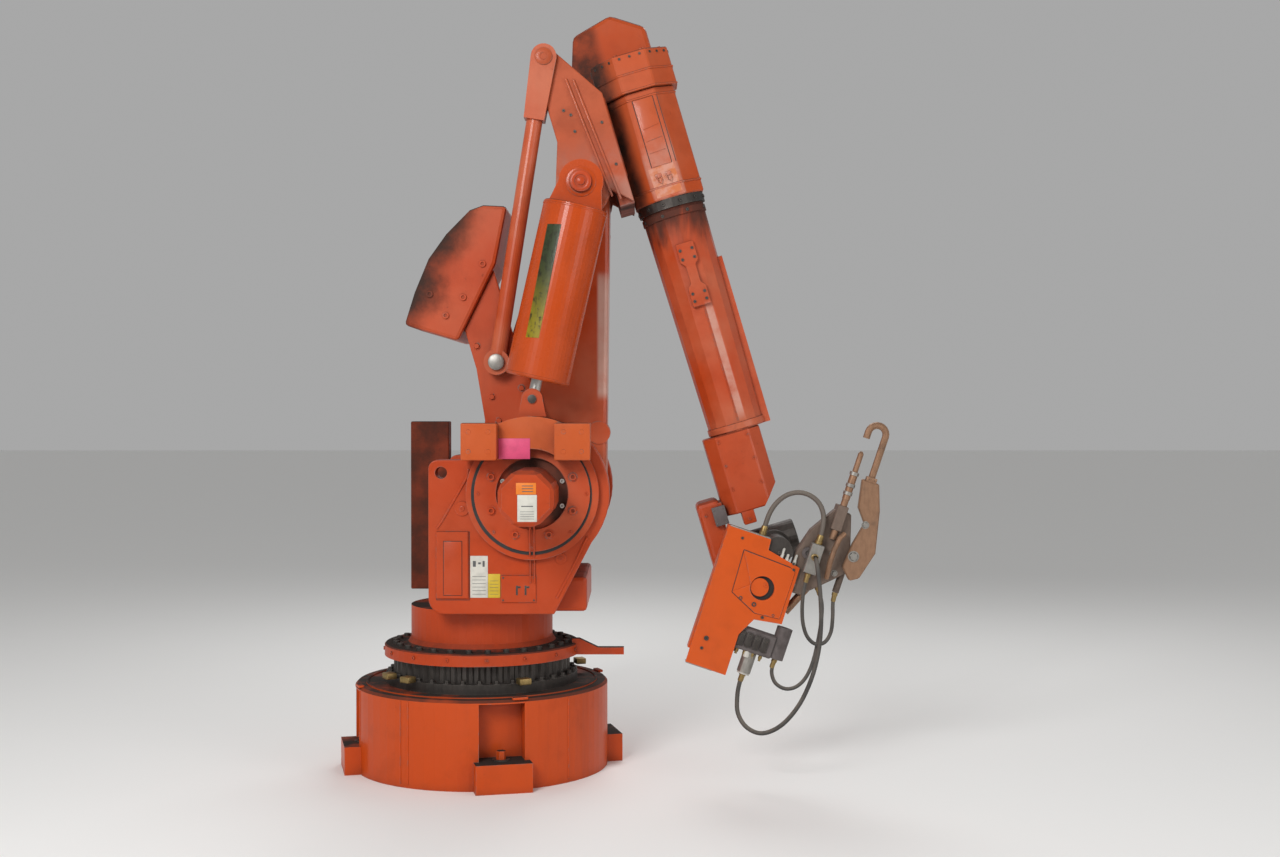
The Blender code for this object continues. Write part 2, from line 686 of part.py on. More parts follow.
def tie_rod(frame):
    """The rod from the crank to the upper arm's lever: an eye below and a fork above."""
    top = LOWER_ARM_LENGTH
    y = -LINK_SIDE
    half_eye = ROD_EYE_THICKNESS / 2
    ear_in = LEVER_THICKNESS / 2 + SIDE_GAP / 2
    ear_out = ear_in + ROD_FORK_EAR
    bar = rod("tie_rod", (0, y, ROD_HEAD_RADIUS / 2), (0, y, top - ROD_SLOT), ROD_RADIUS, frame, 24)
    eye = rod("eye", (0, y - half_eye, 0), (0, y + half_eye, 0), ROD_HEAD_RADIUS, frame)
    head = plate("head", [(-ROD_HEAD_RADIUS, top), (-ROD_HEAD_RADIUS * 0.8, top - ROD_HEAD_LENGTH),
                          (ROD_HEAD_RADIUS * 0.8, top - ROD_HEAD_LENGTH), (ROD_HEAD_RADIUS, top)]
                 + arc(0, top, ROD_HEAD_RADIUS, 15, 165, 8), y - ear_out, y + ear_out, frame)
    slot = block("slot", (-ROD_HEAD_RADIUS * 2, y - ear_in, top - ROD_SLOT),
                 (ROD_HEAD_RADIUS * 2, y + ear_in, top + ROD_HEAD_RADIUS * 2), frame)
    hole = rod("hole", (0, y - half_eye - CUT_OVERRUN, 0), (0, y + half_eye + CUT_OVERRUN, 0),
               CRANK_PIN_RADIUS + RUNNING_GAP, frame)
    top_hole = rod("top_hole", (0, y - ear_out - CUT_OVERRUN, top), (0, y + ear_out + CUT_OVERRUN, top),
                   CRANK_PIN_RADIUS + RUNNING_GAP, frame)
    joined(bar, eye, head)
    cut(bar, slot, hole, top_hole)
    paint(bar, PAINT)


def balancer(side_name, side, frame, span):
    """A balancing cylinder hung from the elbow pin: an ear, a tube and an open mouth below."""
    y = side * BALANCER_SIDE
    top = -BALANCER_TOP_DROP
    bottom = BALANCER_FOOT_RISE - span
    wall = BALANCER_WALL_END
    tube = turned(side_name + "_balancer", [
        (0, top), (BALANCER_RADIUS - SOFT_EDGE, top), (BALANCER_RADIUS, top - SOFT_EDGE),
        (BALANCER_RADIUS, bottom + SOFT_EDGE), (BALANCER_RADIUS - SOFT_EDGE, bottom),
        (BALANCER_MOUTH, bottom), (BALANCER_MOUTH, bottom + wall), (BALANCER_BORE, bottom + wall),
        (BALANCER_BORE, top - wall), (0, top - wall)], (0, y, 0), (0, 0, 1), frame, 48)
    half = BALANCER_EAR_THICKNESS / 2
    ear = plate("ear", [(-BALANCER_RADIUS * 0.85, top - wall / 2), (BALANCER_RADIUS * 0.85, top - wall / 2)]
                + arc(0, 0, BALANCER_EAR_RADIUS, -10, 190, 14), y - half, y + half, frame)
    hole = rod("ear_hole", (0, y - half - CUT_OVERRUN, 0), (0, y + half + CUT_OVERRUN, 0),
               ELBOW_PIN_RADIUS + RUNNING_GAP, frame, 32)
    joined(tube, ear)
    cut(tube, hole)
    paint(tube, PAINT, 0.3)


def piston(side_name, side, frame):
    """The piston rod that stands on the turret's fork and reaches into the cylinder."""
    y = side * BALANCER_SIDE
    half = EYE_THICKNESS / 2
    eye_radius = EYE_RADIUS - SOFT_EDGE
    stem = rod(side_name + "_piston_rod", (0, y, eye_radius * 0.9), (0, y, PISTON_LENGTH),
               PISTON_RADIUS, frame, 20)
    eye = rod("eye", (0, y - half, 0), (0, y + half, 0), eye_radius, frame)
    hole = rod("eye_hole", (0, y - half - CUT_OVERRUN, 0), (0, y + half + CUT_OVERRUN, 0),
               EYE_PIN_RADIUS + RUNNING_GAP, frame)
    joined(stem, eye)
    cut(stem, hole)
    paint(stem, STEEL, 0.3, 0.9)


def elbow_housing(frame):
    """The upper arm's fork round the elbow, with the lever for the tie rod on its near side."""
    top = CRANK_LENGTH
    front = ELBOW_OFFSET - HOUSING_HALF - SEAT_GAP
    side_front = front - SOFT_EDGE
    radius = ELBOW_CHEEK_RADIUS
    near_out = LINK_SIDE + LEVER_THICKNESS / 2
    near_in = LINK_SIDE - LEVER_THICKNESS / 2
    lever = plate("elbow_housing",
                  arc(0, 0, radius, 180, 340, 12) + [(side_front, -BRIDGE_LOW), (side_front, BRIDGE_HIGH)]
                  + arc(0, top, LEVER_RADIUS, 40, 180, 9) + [(-LEVER_RADIUS, LEVER_FLARE)],
                  -near_out, -near_in, frame)
    soften(lever, SOFT_EDGE)
    cheek_far = plate("far_side",
                      arc(0, 0, radius, 180, 340, 12) + [(side_front, -BRIDGE_LOW), (side_front, BRIDGE_STEP),
                                                         (front - BRIDGE_DEPTH, BRIDGE_STEP)],
                      near_in, near_out, frame)
    soften(cheek_far, SOFT_EDGE)
    low_bridge = block("low_bridge", (front - BRIDGE_DEPTH, -near_in - SOFT_EDGE, -BRIDGE_LOW + SOFT_EDGE),
                       (front - SOFT_EDGE / 2, near_in + SOFT_EDGE * 1.5, BRIDGE_STEP - SOFT_EDGE * 2), frame)
    high_bridge = block("high_bridge", (front - BRIDGE_DEPTH + SOFT_EDGE, -near_in - SOFT_EDGE * 2, 0),
                        (front, HOUSING_HALF, BRIDGE_HIGH - SOFT_EDGE * 3), frame)
    inner = ARM_HALF_WIDTH + SIDE_GAP
    near_boss = rod("near_boss", (0, -near_in - SOFT_EDGE, 0), (0, -inner, 0), ELBOW_BOSS_RADIUS, frame)
    far_boss = rod("far_boss", (0, near_in + SOFT_EDGE, 0), (0, inner, 0), ELBOW_BOSS_RADIUS, frame)
    pin_hole = rod("pin_hole", (0, -near_out - CUT_OVERRUN, 0), (0, near_out + CUT_OVERRUN, 0),
                   ELBOW_PIN_RADIUS + RUNNING_GAP, frame, 32)
    reach = LEVER_THICKNESS / 2 + SIDE_GAP / 2 + ROD_FORK_EAR
    lever_pin = rod("lever_pin", (0, -LINK_SIDE - reach, top), (0, -LINK_SIDE + reach, top),
                    CRANK_PIN_RADIUS, frame)
    joined(lever, cheek_far, low_bridge, high_bridge, near_boss, far_boss, lever_pin)
    cut(lever, pin_hole)
    paint(lever, PAINT)


def octagon_about(x, half):
    """An octagon about (x, 0), with its flats towards +-X and +-Y."""
    return [(x + px, py) for px, py in ngon(0, 0, half * 2, 8)]


def motor_housing(frame):
    """The octagonal housing on the upper arm, its rim, the far cover and the roll collar."""
    body = column("motor_housing", octagon_about(ELBOW_OFFSET, HOUSING_HALF), -HOUSING_FRONT,
                  HOUSING_BACK - RIM_LENGTH - SEAT_GAP, frame)
    soften(body, SOFT_EDGE, 1)
    paint(body, PAINT)
    rim = column("motor_housing_rim", octagon_about(ELBOW_OFFSET, RIM_HALF), HOUSING_BACK - RIM_LENGTH,
                 HOUSING_BACK, frame)
    soften(rim, SOFT_EDGE, 1)
    paint(rim, PAINT)
    middle = (FAR_COVER_LOW + FAR_COVER_HIGH) / 2
    chamfer = (FAR_COVER_HIGH - FAR_COVER_LOW) / 4
    low, high = FAR_COVER_FRONT, FAR_COVER_BACK
    outline = [(FAR_COVER_LOW, low), (FAR_COVER_HIGH, low), (FAR_COVER_HIGH, high - chamfer),
               (middle + chamfer / 2, high), (FAR_COVER_LOW + chamfer / 2, high - chamfer / 2),
               (FAR_COVER_LOW, high - chamfer * 2)]
    cover = plate("far_motor_cover", outline, RIM_HALF + SEAT_GAP, FAR_COVER_FAR, frame)
    soften(cover, SOFT_EDGE * 4, 2)
    paint(cover, PAINT)
    collar = rod("roll_collar", (ELBOW_OFFSET, 0, -HOUSING_FRONT - SEAT_GAP),
                 (ELBOW_OFFSET, 0, -HOUSING_FRONT - COLLAR_LENGTH), COLLAR_RADIUS, frame, 40)
    paint(collar, DARK_STEEL, 0.5, 0.4)


def forearm(frame):
    """The tapered forearm tube with its raised bracket and cable tray."""
    x = ELBOW_OFFSET
    start = -HOUSING_FRONT - COLLAR_LENGTH - SEAT_GAP
    end = start - TUBE_LENGTH
    tube = rod("forearm_tube", (x, 0, end), (x, 0, start), TUBE_END_RADIUS, frame, 16, TUBE_RADIUS)
    ridge = block("ridge", (x + TUBE_END_RADIUS / 2, -TRAY_THICKNESS, end),
                  (x + TUBE_RADIUS + TRAY_THICKNESS / 2, TRAY_THICKNESS, start - TUBE_LENGTH / 4), frame)
    joined(tube, ridge)
    paint(tube, PAINT)
    half = TRAY_WIDTH / 2
    high = start - TUBE_LENGTH * 0.16
    low = start - TUBE_LENGTH * 0.44
    neck = TRAY_WIDTH * 0.28
    flange = (high - low) * 0.3
    outline = [(x - half, high), (x - half, high - flange), (x - neck, high - flange * 1.2),
               (x - neck, low + flange * 1.2), (x - half, low + flange), (x - half, low),
               (x + half, low), (x + half, low + flange), (x + neck, low + flange * 1.2),
               (x + neck, high - flange * 1.2), (x + half, high - flange), (x + half, high)]
    bracket = plate("forearm_bracket", outline, -TUBE_RADIUS - TRAY_THICKNESS / 2, -TUBE_END_RADIUS / 2,
                    frame)
    soften(bracket, SOFT_EDGE / 2, 1)
    seat = rod("bracket_seat", (x, 0, end), (x, 0, start), TUBE_END_RADIUS + SEAT_GAP, frame, 16,
               TUBE_RADIUS + SEAT_GAP)
    cut(bracket, seat)
    paint(bracket, PAINT)


def wrist(frame):
    """The wrist housing on the tube's end, and the single leg that holds the tilting head."""
    high = -HOUSING_FRONT - COLLAR_LENGTH - TUBE_LENGTH - 2 * SEAT_GAP
    low = high - WRIST_HOUSING_LENGTH
    x = ELBOW_OFFSET - WRIST_SHIFT
    half, corner = WRIST_HALF, WRIST_CHAMFER
    outline = [(x - half, -half + corner), (x - half + corner, -half), (x + half - corner, -half),
               (x + half, -half + corner), (x + half, half - corner), (x + half - corner, half),
               (x - half + corner, half), (x - half, half - corner)]
    housing = column("wrist_housing", outline, low, high, frame)
    soften(housing, SOFT_EDGE, 1)
    slope = plate("slope", [(x + half * 0.2, low - CUT_OVERRUN), (x + half + CUT_OVERRUN, low - CUT_OVERRUN),
                            (x + half + CUT_OVERRUN, low + half * 0.9)], -half * 2, half * 2, frame)
    cut(housing, slope)
    paint(housing, PAINT)
    wrist_z = -ELBOW_TO_WRIST
    centre = ELBOW_OFFSET
    root_x = x - half - SEAT_GAP
    leg_low = wrist_z - LEG_FRONT
    leg_high = wrist_z + LEG_BACK
    leg = block("wrist_leg", (centre - LEG_OUT, -LEG_HALF, leg_low), (centre - LEG_IN, LEG_HALF, leg_high),
                frame)
    soften(leg, LEG_HALF / 4, 3)
    root = block("root", (centre - LEG_OUT + SOFT_EDGE, -LEG_HALF + SOFT_EDGE, low + CUT_OVERRUN),
                 (root_x, LEG_HALF - SOFT_EDGE, leg_high - SOFT_EDGE * 4), frame)
    joined(leg, root)
    paint(leg, PAINT)


def tilt_head(frame):
    """The head that tilts on the leg, with its nose towards the tool."""
    inner = -LEG_IN + SEAT_GAP
    head = rod("tilt_head", (inner, 0, 0), (TILT_HALF, 0, 0), TILT_RADIUS, frame, 32)
    soften(head, SOFT_EDGE, 1)
    nose = rod("nose", (0, 0, 0), (0, -TILT_NOSE, 0), NOSE_RADIUS, frame, 32)
    joined(head, nose)
    paint(head, DARK_STEEL, 0.5, 0.3)


def tool_flange(frame):
    """The turning flange and the adapter that carries the gun bracket."""
    start = -TILT_NOSE - SEAT_GAP
    flange = rod("tool_flange", (0, start, 0), (0, start - TOOL_FLANGE_THICKNESS, 0),
                 TOOL_FLANGE_RADIUS, frame, 32)
    adapter = rod("adapter", (0, start - SOFT_EDGE, 0), (0, -BRACKET_FACE + BRACKET_THICKNESS + SEAT_GAP, 0),
                  ADAPTER_RADIUS, frame, 32)
    joined(flange, adapter)
    paint(flange, DARK_STEEL, 0.45, 0.7)


def bracket_point(x_share, z_share):
    """A place on the gun bracket, from shares of its width and height."""
    return (-BRACKET_LEFT + BRACKET_WIDTH * x_share, BRACKET_TOP - BRACKET_HEIGHT * z_share)


def gun_bracket(frame):
    """The orange bracket plate, with its round hole and its folded top lip."""
    back = -BRACKET_FACE + BRACKET_THICKNESS
    made = plate("gun_bracket", [bracket_point(*shares) for shares in BRACKET_SHARES],
                 -BRACKET_FACE, back, frame)
    hole_x, hole_z = bracket_point(*BRACKET_HOLE_SHARES)
    hole = rod("hole", (hole_x, -BRACKET_FACE - CUT_OVERRUN, hole_z), (hole_x, back + CUT_OVERRUN, hole_z),
               BRACKET_HOLE, frame)
    lip_left = -BRACKET_LEFT + SOFT_EDGE
    lip = block("lip", (lip_left, back - SOFT_EDGE, BRACKET_TOP - BRACKET_THICKNESS),
                (lip_left + BRACKET_WIDTH * 0.5, back + BRACKET_LIP, BRACKET_TOP), frame)
    side = block("side", (-BRACKET_LEFT, back - SOFT_EDGE, BRACKET_TOP - BRACKET_HEIGHT * 0.9),
                 (-BRACKET_LEFT + BRACKET_THICKNESS, back + BRACKET_LIP, BRACKET_TOP), frame)
    cut(made, hole)
    joined(made, lip, side)
    paint(made, TOOL_PAINT)


def gun_body(frame):
    """The welding gun's body plate, with the guide for the moving electrode."""
    face = BRACKET_FACE - BRACKET_THICKNESS - SEAT_GAP
    back = face - GUN_THICKNESS
    left = ADAPTER_RADIUS + CUT_OVERRUN / 2
    body = plate("gun_body", [
        (left, -left * 2), (left * 2, -left * 2), (GUIDE_X + GUIDE_HALF * 3, -GUIDE_HALF * 1.5),
        (GUIDE_X + GUIDE_HALF * 4.4, 0), (GUIDE_X + GUIDE_HALF * 4, GUIDE_LOW * 0.6),
        (GUIDE_X + GUIDE_HALF * 2, GUIDE_HIGH - GUIDE_HALF), (GUIDE_X - GUIDE_HALF, GUIDE_HIGH - GUIDE_HALF),
        (left * 1.4, GUIDE_LOW * 0.8), (left, GUIDE_HALF)], -face, -back, frame)
    soften(body, SOFT_EDGE, 1)
    stem_x = GUIDE_X + GUIDE_HALF * 4
    stem = rod("stem", (stem_x, -(face + back) / 2, GUIDE_HALF),
                 (stem_x, -(face + back) / 2, -GUIDE_HALF * 4),
               ELECTRODE_RADIUS, frame, 16)
    y = -face - C_FRAME_THICKNESS / 2
    guide = block("guide", (GUIDE_X - GUIDE_HALF, -face - C_FRAME_THICKNESS, GUIDE_LOW),
                  (GUIDE_X + GUIDE_HALF, -back, GUIDE_HIGH), frame)
    bore = rod("bore", (GUIDE_X, y, GUIDE_LOW - CUT_OVERRUN), (GUIDE_X, y, GUIDE_HIGH + CUT_OVERRUN),
               ELECTRODE_RADIUS + RUNNING_GAP, frame, 16)
    joined(body, stem, soften(guide, SOFT_EDGE / 2, 1))
    cut(body, bore)
    paint(body, DARK_STEEL, 0.5, 0.5)


def gun_arm(frame):
    """The fixed arm of the gun and its hooked electrode."""
    face = BRACKET_FACE - BRACKET_THICKNESS
    y = -face - C_FRAME_THICKNESS / 2
    shank = HOOK_SHANK_X
    step = GUIDE_HALF
    outline = [(shank + step * 2, -step), (shank + step * 3.6, 0), (shank + step * 5, GUIDE_LOW * 0.75),
               (shank + step * 4, GUIDE_LOW * 1.4), (shank + step * 3.3, GUIDE_HIGH * 1.1),
               (shank + step * 1.6, GUIDE_HIGH * 1.5), (shank - step * 1.7, GUIDE_HIGH * 1.5),
               (shank - step * 0.7, GUIDE_HIGH * 1.05), (shank + step * 1.3, GUIDE_LOW * 1.4),
               (shank + step * 0.4, GUIDE_LOW * 0.8), (shank, GUIDE_HALF)]
    arm = plate("gun_arm", outline, -face - C_FRAME_THICKNESS, -face, frame)
    soften(arm, SOFT_EDGE, 1)
    paint(arm, COPPER, 0.55, 0.3)
    radius = (HOOK_SHANK_X - GUIDE_X) / 2
    bend_z = HOOK_TOP - radius
    curve = bpy.data.curves.new("hook", "CURVE")
    curve.dimensions = "3D"
    curve.bevel_depth = ELECTRODE_RADIUS
    curve.bevel_resolution = 3
    curve.use_fill_caps = True
    route = [(HOOK_SHANK_X, GUIDE_HIGH * 1.5 + SEAT_GAP)]
    route += arc(HOOK_SHANK_X - radius, bend_z, radius, 0, 180, 10)
    route += [(GUIDE_X, HOOK_END)]
    line = curve.splines.new("POLY")
    line.points.add(len(route) - 1)
    for point, (x, z) in zip(line.points, route):
        point.co = (x, y, z, 1)
    hook = from_curve("hook_electrode", curve, frame)
    smooth(hook)
    paint(hook, COPPER, 0.4, 0.8)


def moving_electrode(frame):
    """The electrode that slides in the gun's guide."""
    y = -(BRACKET_FACE - BRACKET_THICKNESS - SEAT_GAP) - C_FRAME_THICKNESS / 2
    tip = ELECTRODE_TIP
    cap = ELECTRODE_RADIUS * 2
    shank = turned("moving_electrode", [
        (0, tip), (ELECTRODE_RADIUS / 3, tip), (ELECTRODE_RADIUS * 0.8, tip - cap / 3),
        (ELECTRODE_RADIUS * 0.8, tip - cap * 3), (ELECTRODE_RADIUS, tip - cap * 3.2),
        (ELECTRODE_RADIUS, ELECTRODE_TAIL), (0, ELECTRODE_TAIL)], (GUIDE_X, y, 0), (0, 0, 1), frame, 16)
    paint(shank, COPPER, 0.4, 0.8)


def gun_fittings(frame):
    """The valve block, the hose manifold and the plug socket of the gun."""
    face = BRACKET_FACE - BRACKET_THICKNESS - SEAT_GAP
    top = BRACKET_TOP - BRACKET_HEIGHT * 0.64
    low = BRACKET_TOP - BRACKET_HEIGHT * 0.8
    block_left = -BRACKET_WIDTH * 0.3
    block_right = BRACKET_WIDTH * 0.33
    valves = block("valve_block", (block_left, -face, low), (block_right, -face + GUN_THICKNESS, top), frame)
    soften(valves, SOFT_EDGE, 1)
    tube_x = block_right + GUIDE_HALF
    air = rod("air", (tube_x, -face + GUN_THICKNESS / 2, low + SOFT_EDGE),
              (tube_x, -face + GUN_THICKNESS / 2, top + GUIDE_HALF * 2), GUIDE_HALF * 1.5, frame, 20)
    joined(valves, air)
    paint(valves, DARK_STEEL, 0.5, 0.4)
    socket_x = BRACKET_WIDTH * 0.08
    socket = rod("plug_socket", (socket_x, -face + GUN_THICKNESS / 2, low - SEAT_GAP),
                 (socket_x, -face + GUN_THICKNESS / 2, low - GUIDE_HALF * 4), GUIDE_HALF * 1.3, frame, 20)
    paint(socket, STEEL, 0.35, 0.8)
    left = ADAPTER_RADIUS * 2
    manifold = block("hose_manifold", (left, -face - GUIDE_HALF * 2.4, -GUIDE_HALF * 2),
                     (left + GUIDE_HALF * 2.4, -face - SEAT_GAP, GUIDE_HALF * 3.6), frame)
    soften(manifold, SOFT_EDGE / 2, 1)
    paint(manifold, STEEL, 0.4, 0.7)


# Routes of the hoses, from end to end, in metres
HOSE_ROUTES = {
    "hose_arch": (0.016, [
        (1.0809, -0.2934, 0.7496), (1.0875, -0.2934, 0.770), (1.096, -0.292, 0.805),
        (1.098, -0.288, 0.842), (1.086, -0.281, 0.876), (1.060, -0.271, 0.900),
        (1.026, -0.262, 0.910), (0.990, -0.255, 0.903), (0.958, -0.250, 0.880),
        (0.935, -0.248, 0.848), (0.921, -0.248, 0.812), (0.9100, -0.248, 0.7748)]),
    "hose_loop_rear": (0.012, [
        (0.9498, -0.245, 0.3820), (0.943, -0.245, 0.362), (0.940, -0.245, 0.335),
        (0.952, -0.247, 0.305), (0.982, -0.249, 0.288), (1.016, -0.250, 0.294),
        (1.046, -0.250, 0.322), (1.068, -0.249, 0.368), (1.084, -0.247, 0.430),
        (1.096, -0.246, 0.500), (1.098, -0.245, 0.560), (1.0828, -0.245, 0.6119)]),
    "hose_loop_front": (0.012, [
        (1.0503, -0.2934, 0.6583), (1.043, -0.294, 0.635), (1.035, -0.295, 0.600),
        (1.031, -0.295, 0.550), (1.034, -0.293, 0.500), (1.048, -0.290, 0.458),
        (1.074, -0.286, 0.435), (1.104, -0.279, 0.440), (1.124, -0.269, 0.470),
        (1.131, -0.258, 0.515), (1.133, -0.249, 0.560), (1.1400, -0.2452, 0.5924)]),
    "hose_long": (0.014, [
        (1.0676, -0.3142, 0.7101), (1.068, -0.334, 0.7085), (1.071, -0.353, 0.692),
        (1.074, -0.362, 0.660), (1.080, -0.363, 0.600), (1.083, -0.363, 0.520),
        (1.076, -0.362, 0.430), (1.054, -0.360, 0.340), (1.015, -0.354, 0.255),
        (0.962, -0.340, 0.190), (0.905, -0.315, 0.160), (0.858, -0.285, 0.173),
        (0.832, -0.260, 0.213), (0.831, -0.247, 0.265), (0.838, -0.245, 0.305),
        (0.8497, -0.245, 0.3402)]),
}


def smooth_route(points, spacing):
    """Read points at about a spacing from a smooth curve through the route's points."""
    points = [Vector(point) for point in points]
    found = [points[0]]
    for i in range(len(points) - 1):
        before, start, end = points[max(i - 1, 0)], points[i], points[i + 1]
        after = points[min(i + 2, len(points) - 1)]
        steps = max(1, round((end - start).length / spacing))
        for step in range(1, steps + 1):
            t = step / steps
            found.append(0.5 * (2 * start + (end - before) * t
                                + (2 * before - 5 * start + 4 * end - after) * t ** 2
                                + (3 * start - before - 3 * end + after) * t ** 3))
    return found


def hoses():
    """The gun's hoses, each held at both ends."""
    for name, (diameter, points) in HOSE_ROUTES.items():
        curve = bpy.data.curves.new(name, "CURVE")
        curve.dimensions = "3D"
        curve.bevel_depth = diameter / 2
        curve.bevel_resolution = 2
        curve.use_fill_caps = True
        route = smooth_route(points, diameter * 2.2)
        line = curve.splines.new("POLY")
        line.points.add(len(route) - 1)
        for point, place in zip(line.points, route):
            point.co = (*place, 1)
        hose = bpy.data.objects.new(name, curve)
        PARTS.objects.link(hose)
        paint(hose, RUBBER, 0.6)


def build():
    """Make every piece, each in its joint's frame."""
    base_drum()
    slewing_ring()
    turntable()
    frame_floor()
    rear_cable_box()
    elbow_at = elbow_place()
    shoulder_at = (SHOULDER_FORWARD, 0, SHOULDER_HEIGHT)
    pin_at = Vector((SHOULDER_FORWARD, 0, SHOULDER_HEIGHT + BALANCER_PIN_RISE))
    strut = Vector(elbow_at) - pin_at
    strut_lean = asin(strut.x / strut.length)
    for side_name, side in (("near", -1), ("far", 1)):
        cheek(side_name, side)
        gearbox(side_name, side)
        buffer_beam(side_name, side)
        balancer_bracket(side_name, side)
        balancer(side_name, side, joint_frame(side_name + "_balancer_axis", elbow_at, strut_lean),
                 strut.length)
        piston(side_name, side, joint_frame(side_name + "_piston_axis", pin_at, strut_lean))
    lower_arm(joint_frame("lower_arm_axis", shoulder_at, LOWER_ARM_LEAN))
    elbow_pin(joint_frame("elbow_pin_axis", elbow_at))
    crank(joint_frame("crank_axis", shoulder_at, UPPER_ARM_LEAN))
    crank_end = Vector(shoulder_at) + CRANK_LENGTH * Vector((sin(UPPER_ARM_LEAN), 0, cos(UPPER_ARM_LEAN)))
    crank_pin(joint_frame("crank_pin_axis", crank_end))
    tie_rod(joint_frame("tie_rod_axis", crank_end, LOWER_ARM_LEAN))
    upper = joint_frame("upper_arm_axis", elbow_at, UPPER_ARM_LEAN)
    elbow_housing(upper)
    motor_housing(upper)
    roll = joint_frame("forearm_axis", elbow_at, UPPER_ARM_LEAN)
    forearm(roll)
    wrist(roll)
    along = Vector((-sin(UPPER_ARM_LEAN), 0, -cos(UPPER_ARM_LEAN)))
    across = Vector((cos(UPPER_ARM_LEAN), 0, -sin(UPPER_ARM_LEAN)))
    wrist_at = Vector(elbow_at) + ELBOW_TO_WRIST * along + ELBOW_OFFSET * across
    tilt_head(joint_frame("wrist_axis", wrist_at, UPPER_ARM_LEAN))
    tool = joint_frame("tool_axis", wrist_at, TOOL_TILT)
    tool_flange(tool)
    gun_bracket(tool)
    gun_body(tool)
    gun_arm(tool)
    gun_fittings(tool)
    moving_electrode(joint_frame("electrode_axis", wrist_at, TOOL_TILT))
    hoses()


clear_scene()
PARTS = new_collection("industrial_robot_arm")
CUTTERS = new_collection("cutters")
build()
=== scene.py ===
# %% [markdown]
# # Dressing an industrial robot arm
# The solids of the robot come packed, in metres, with each moving group on its own body.
# This script gives them their worn paint, dusty steel and rubber, and adds the small things that
# are looks and not structure: screws, labels, wires and hoses. Nothing of the frame is moved.

# %% Load the frame
from math import atan2, cos, pi, radians, sin

import bmesh
import bpy
from mathutils import Matrix, Vector


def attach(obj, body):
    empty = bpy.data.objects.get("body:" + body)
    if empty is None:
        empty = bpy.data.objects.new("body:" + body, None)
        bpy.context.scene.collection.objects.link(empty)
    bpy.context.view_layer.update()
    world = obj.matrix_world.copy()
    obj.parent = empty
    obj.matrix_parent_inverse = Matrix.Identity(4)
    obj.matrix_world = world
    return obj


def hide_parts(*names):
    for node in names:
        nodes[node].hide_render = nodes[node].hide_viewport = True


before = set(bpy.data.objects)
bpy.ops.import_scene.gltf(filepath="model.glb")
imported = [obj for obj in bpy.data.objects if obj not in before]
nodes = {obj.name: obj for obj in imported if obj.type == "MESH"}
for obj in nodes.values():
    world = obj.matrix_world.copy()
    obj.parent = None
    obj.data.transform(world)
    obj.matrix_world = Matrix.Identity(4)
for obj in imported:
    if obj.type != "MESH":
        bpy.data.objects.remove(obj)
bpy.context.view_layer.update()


def add_object(name, data):
    """A new object in the scene."""
    made = bpy.data.objects.new(name, data)
    bpy.context.scene.collection.objects.link(made)
    return made


# %% [markdown]
# ## The camera
# The photograph was taken from about the height of the shoulder, level to within a degree, with
# the robot a little left of the middle. A long side of 36 mm and a 45 mm lens give the same view
# as the picture: 1600 pixels of focal length on 1280 pixels of width.

# %% Camera
CAMERA_PLACE = (0.523, -5.3, 1.173)
CAMERA_PITCH = radians(90 - 0.7)
LENS = 45.0
SENSOR = 36.0

camera_data = bpy.data.cameras.new("camera")
camera_data.lens = LENS
camera_data.sensor_width = SENSOR
camera = add_object("camera", camera_data)
camera.location = CAMERA_PLACE
camera.rotation_euler = (CAMERA_PITCH, 0, 0)
bpy.context.scene.camera = camera
bpy.context.scene.view_settings.view_transform = "Standard"

# %% [markdown]
# ## Places on the robot
# A small part is easiest to place in the frame of what carries it: an arm that leans is upright
# in its own frame. `leaning` gives the matrix of such a frame, and every mesh is written in
# the world's coordinates with it, so that all textures share one space.

# %% Frames of the robot
NEAR = (0, -1, 0)
FAR = (0, 1, 0)
UP = (0, 0, 1)
DOWN = (0, 0, -1)
SHOULDER = Vector((0.188, 0, 0.91))
LOWER_LEAN = radians(8.9)
UPPER_LEAN = radians(-16.5)
TOOL_LEAN = radians(18.5)
LOWER_ARM_LENGTH = 0.98
ELBOW_OFFSET = 0.265
ELBOW_TO_WRIST = 1.28
CRANK_LENGTH = 0.43
BALANCER_SIDE = 0.306
BALANCER_PIN = SHOULDER + Vector((0, 0, 0.294))


def leaning(place, lean):
    """The matrix of a frame at a place, leaning about the world's Y axis."""
    return Matrix.Translation(place) @ Matrix.Rotation(lean, 4, "Y")


UPRIGHT = Matrix.Identity(4)
ELBOW = leaning(SHOULDER, LOWER_LEAN) @ Vector((0, 0, LOWER_ARM_LENGTH))
UPPER_ARM = leaning(ELBOW, UPPER_LEAN)
WRIST = UPPER_ARM @ Vector((ELBOW_OFFSET, 0, -ELBOW_TO_WRIST))
CRANK = leaning(SHOULDER, UPPER_LEAN)
CRANK_END = CRANK @ Vector((0, 0, CRANK_LENGTH))
strut = ELBOW - BALANCER_PIN
BALANCER = leaning(ELBOW, atan2(strut.x, strut.z))
FRAMES = {"upper_arm": UPPER_ARM, "forearm": UPPER_ARM, "tool": leaning(WRIST, TOOL_LEAN),
        "crank": CRANK, "near_balancer": BALANCER, "far_balancer": BALANCER}
print("elbow", [round(x, 3) for x in ELBOW], "wrist", [round(x, 3) for x in WRIST])
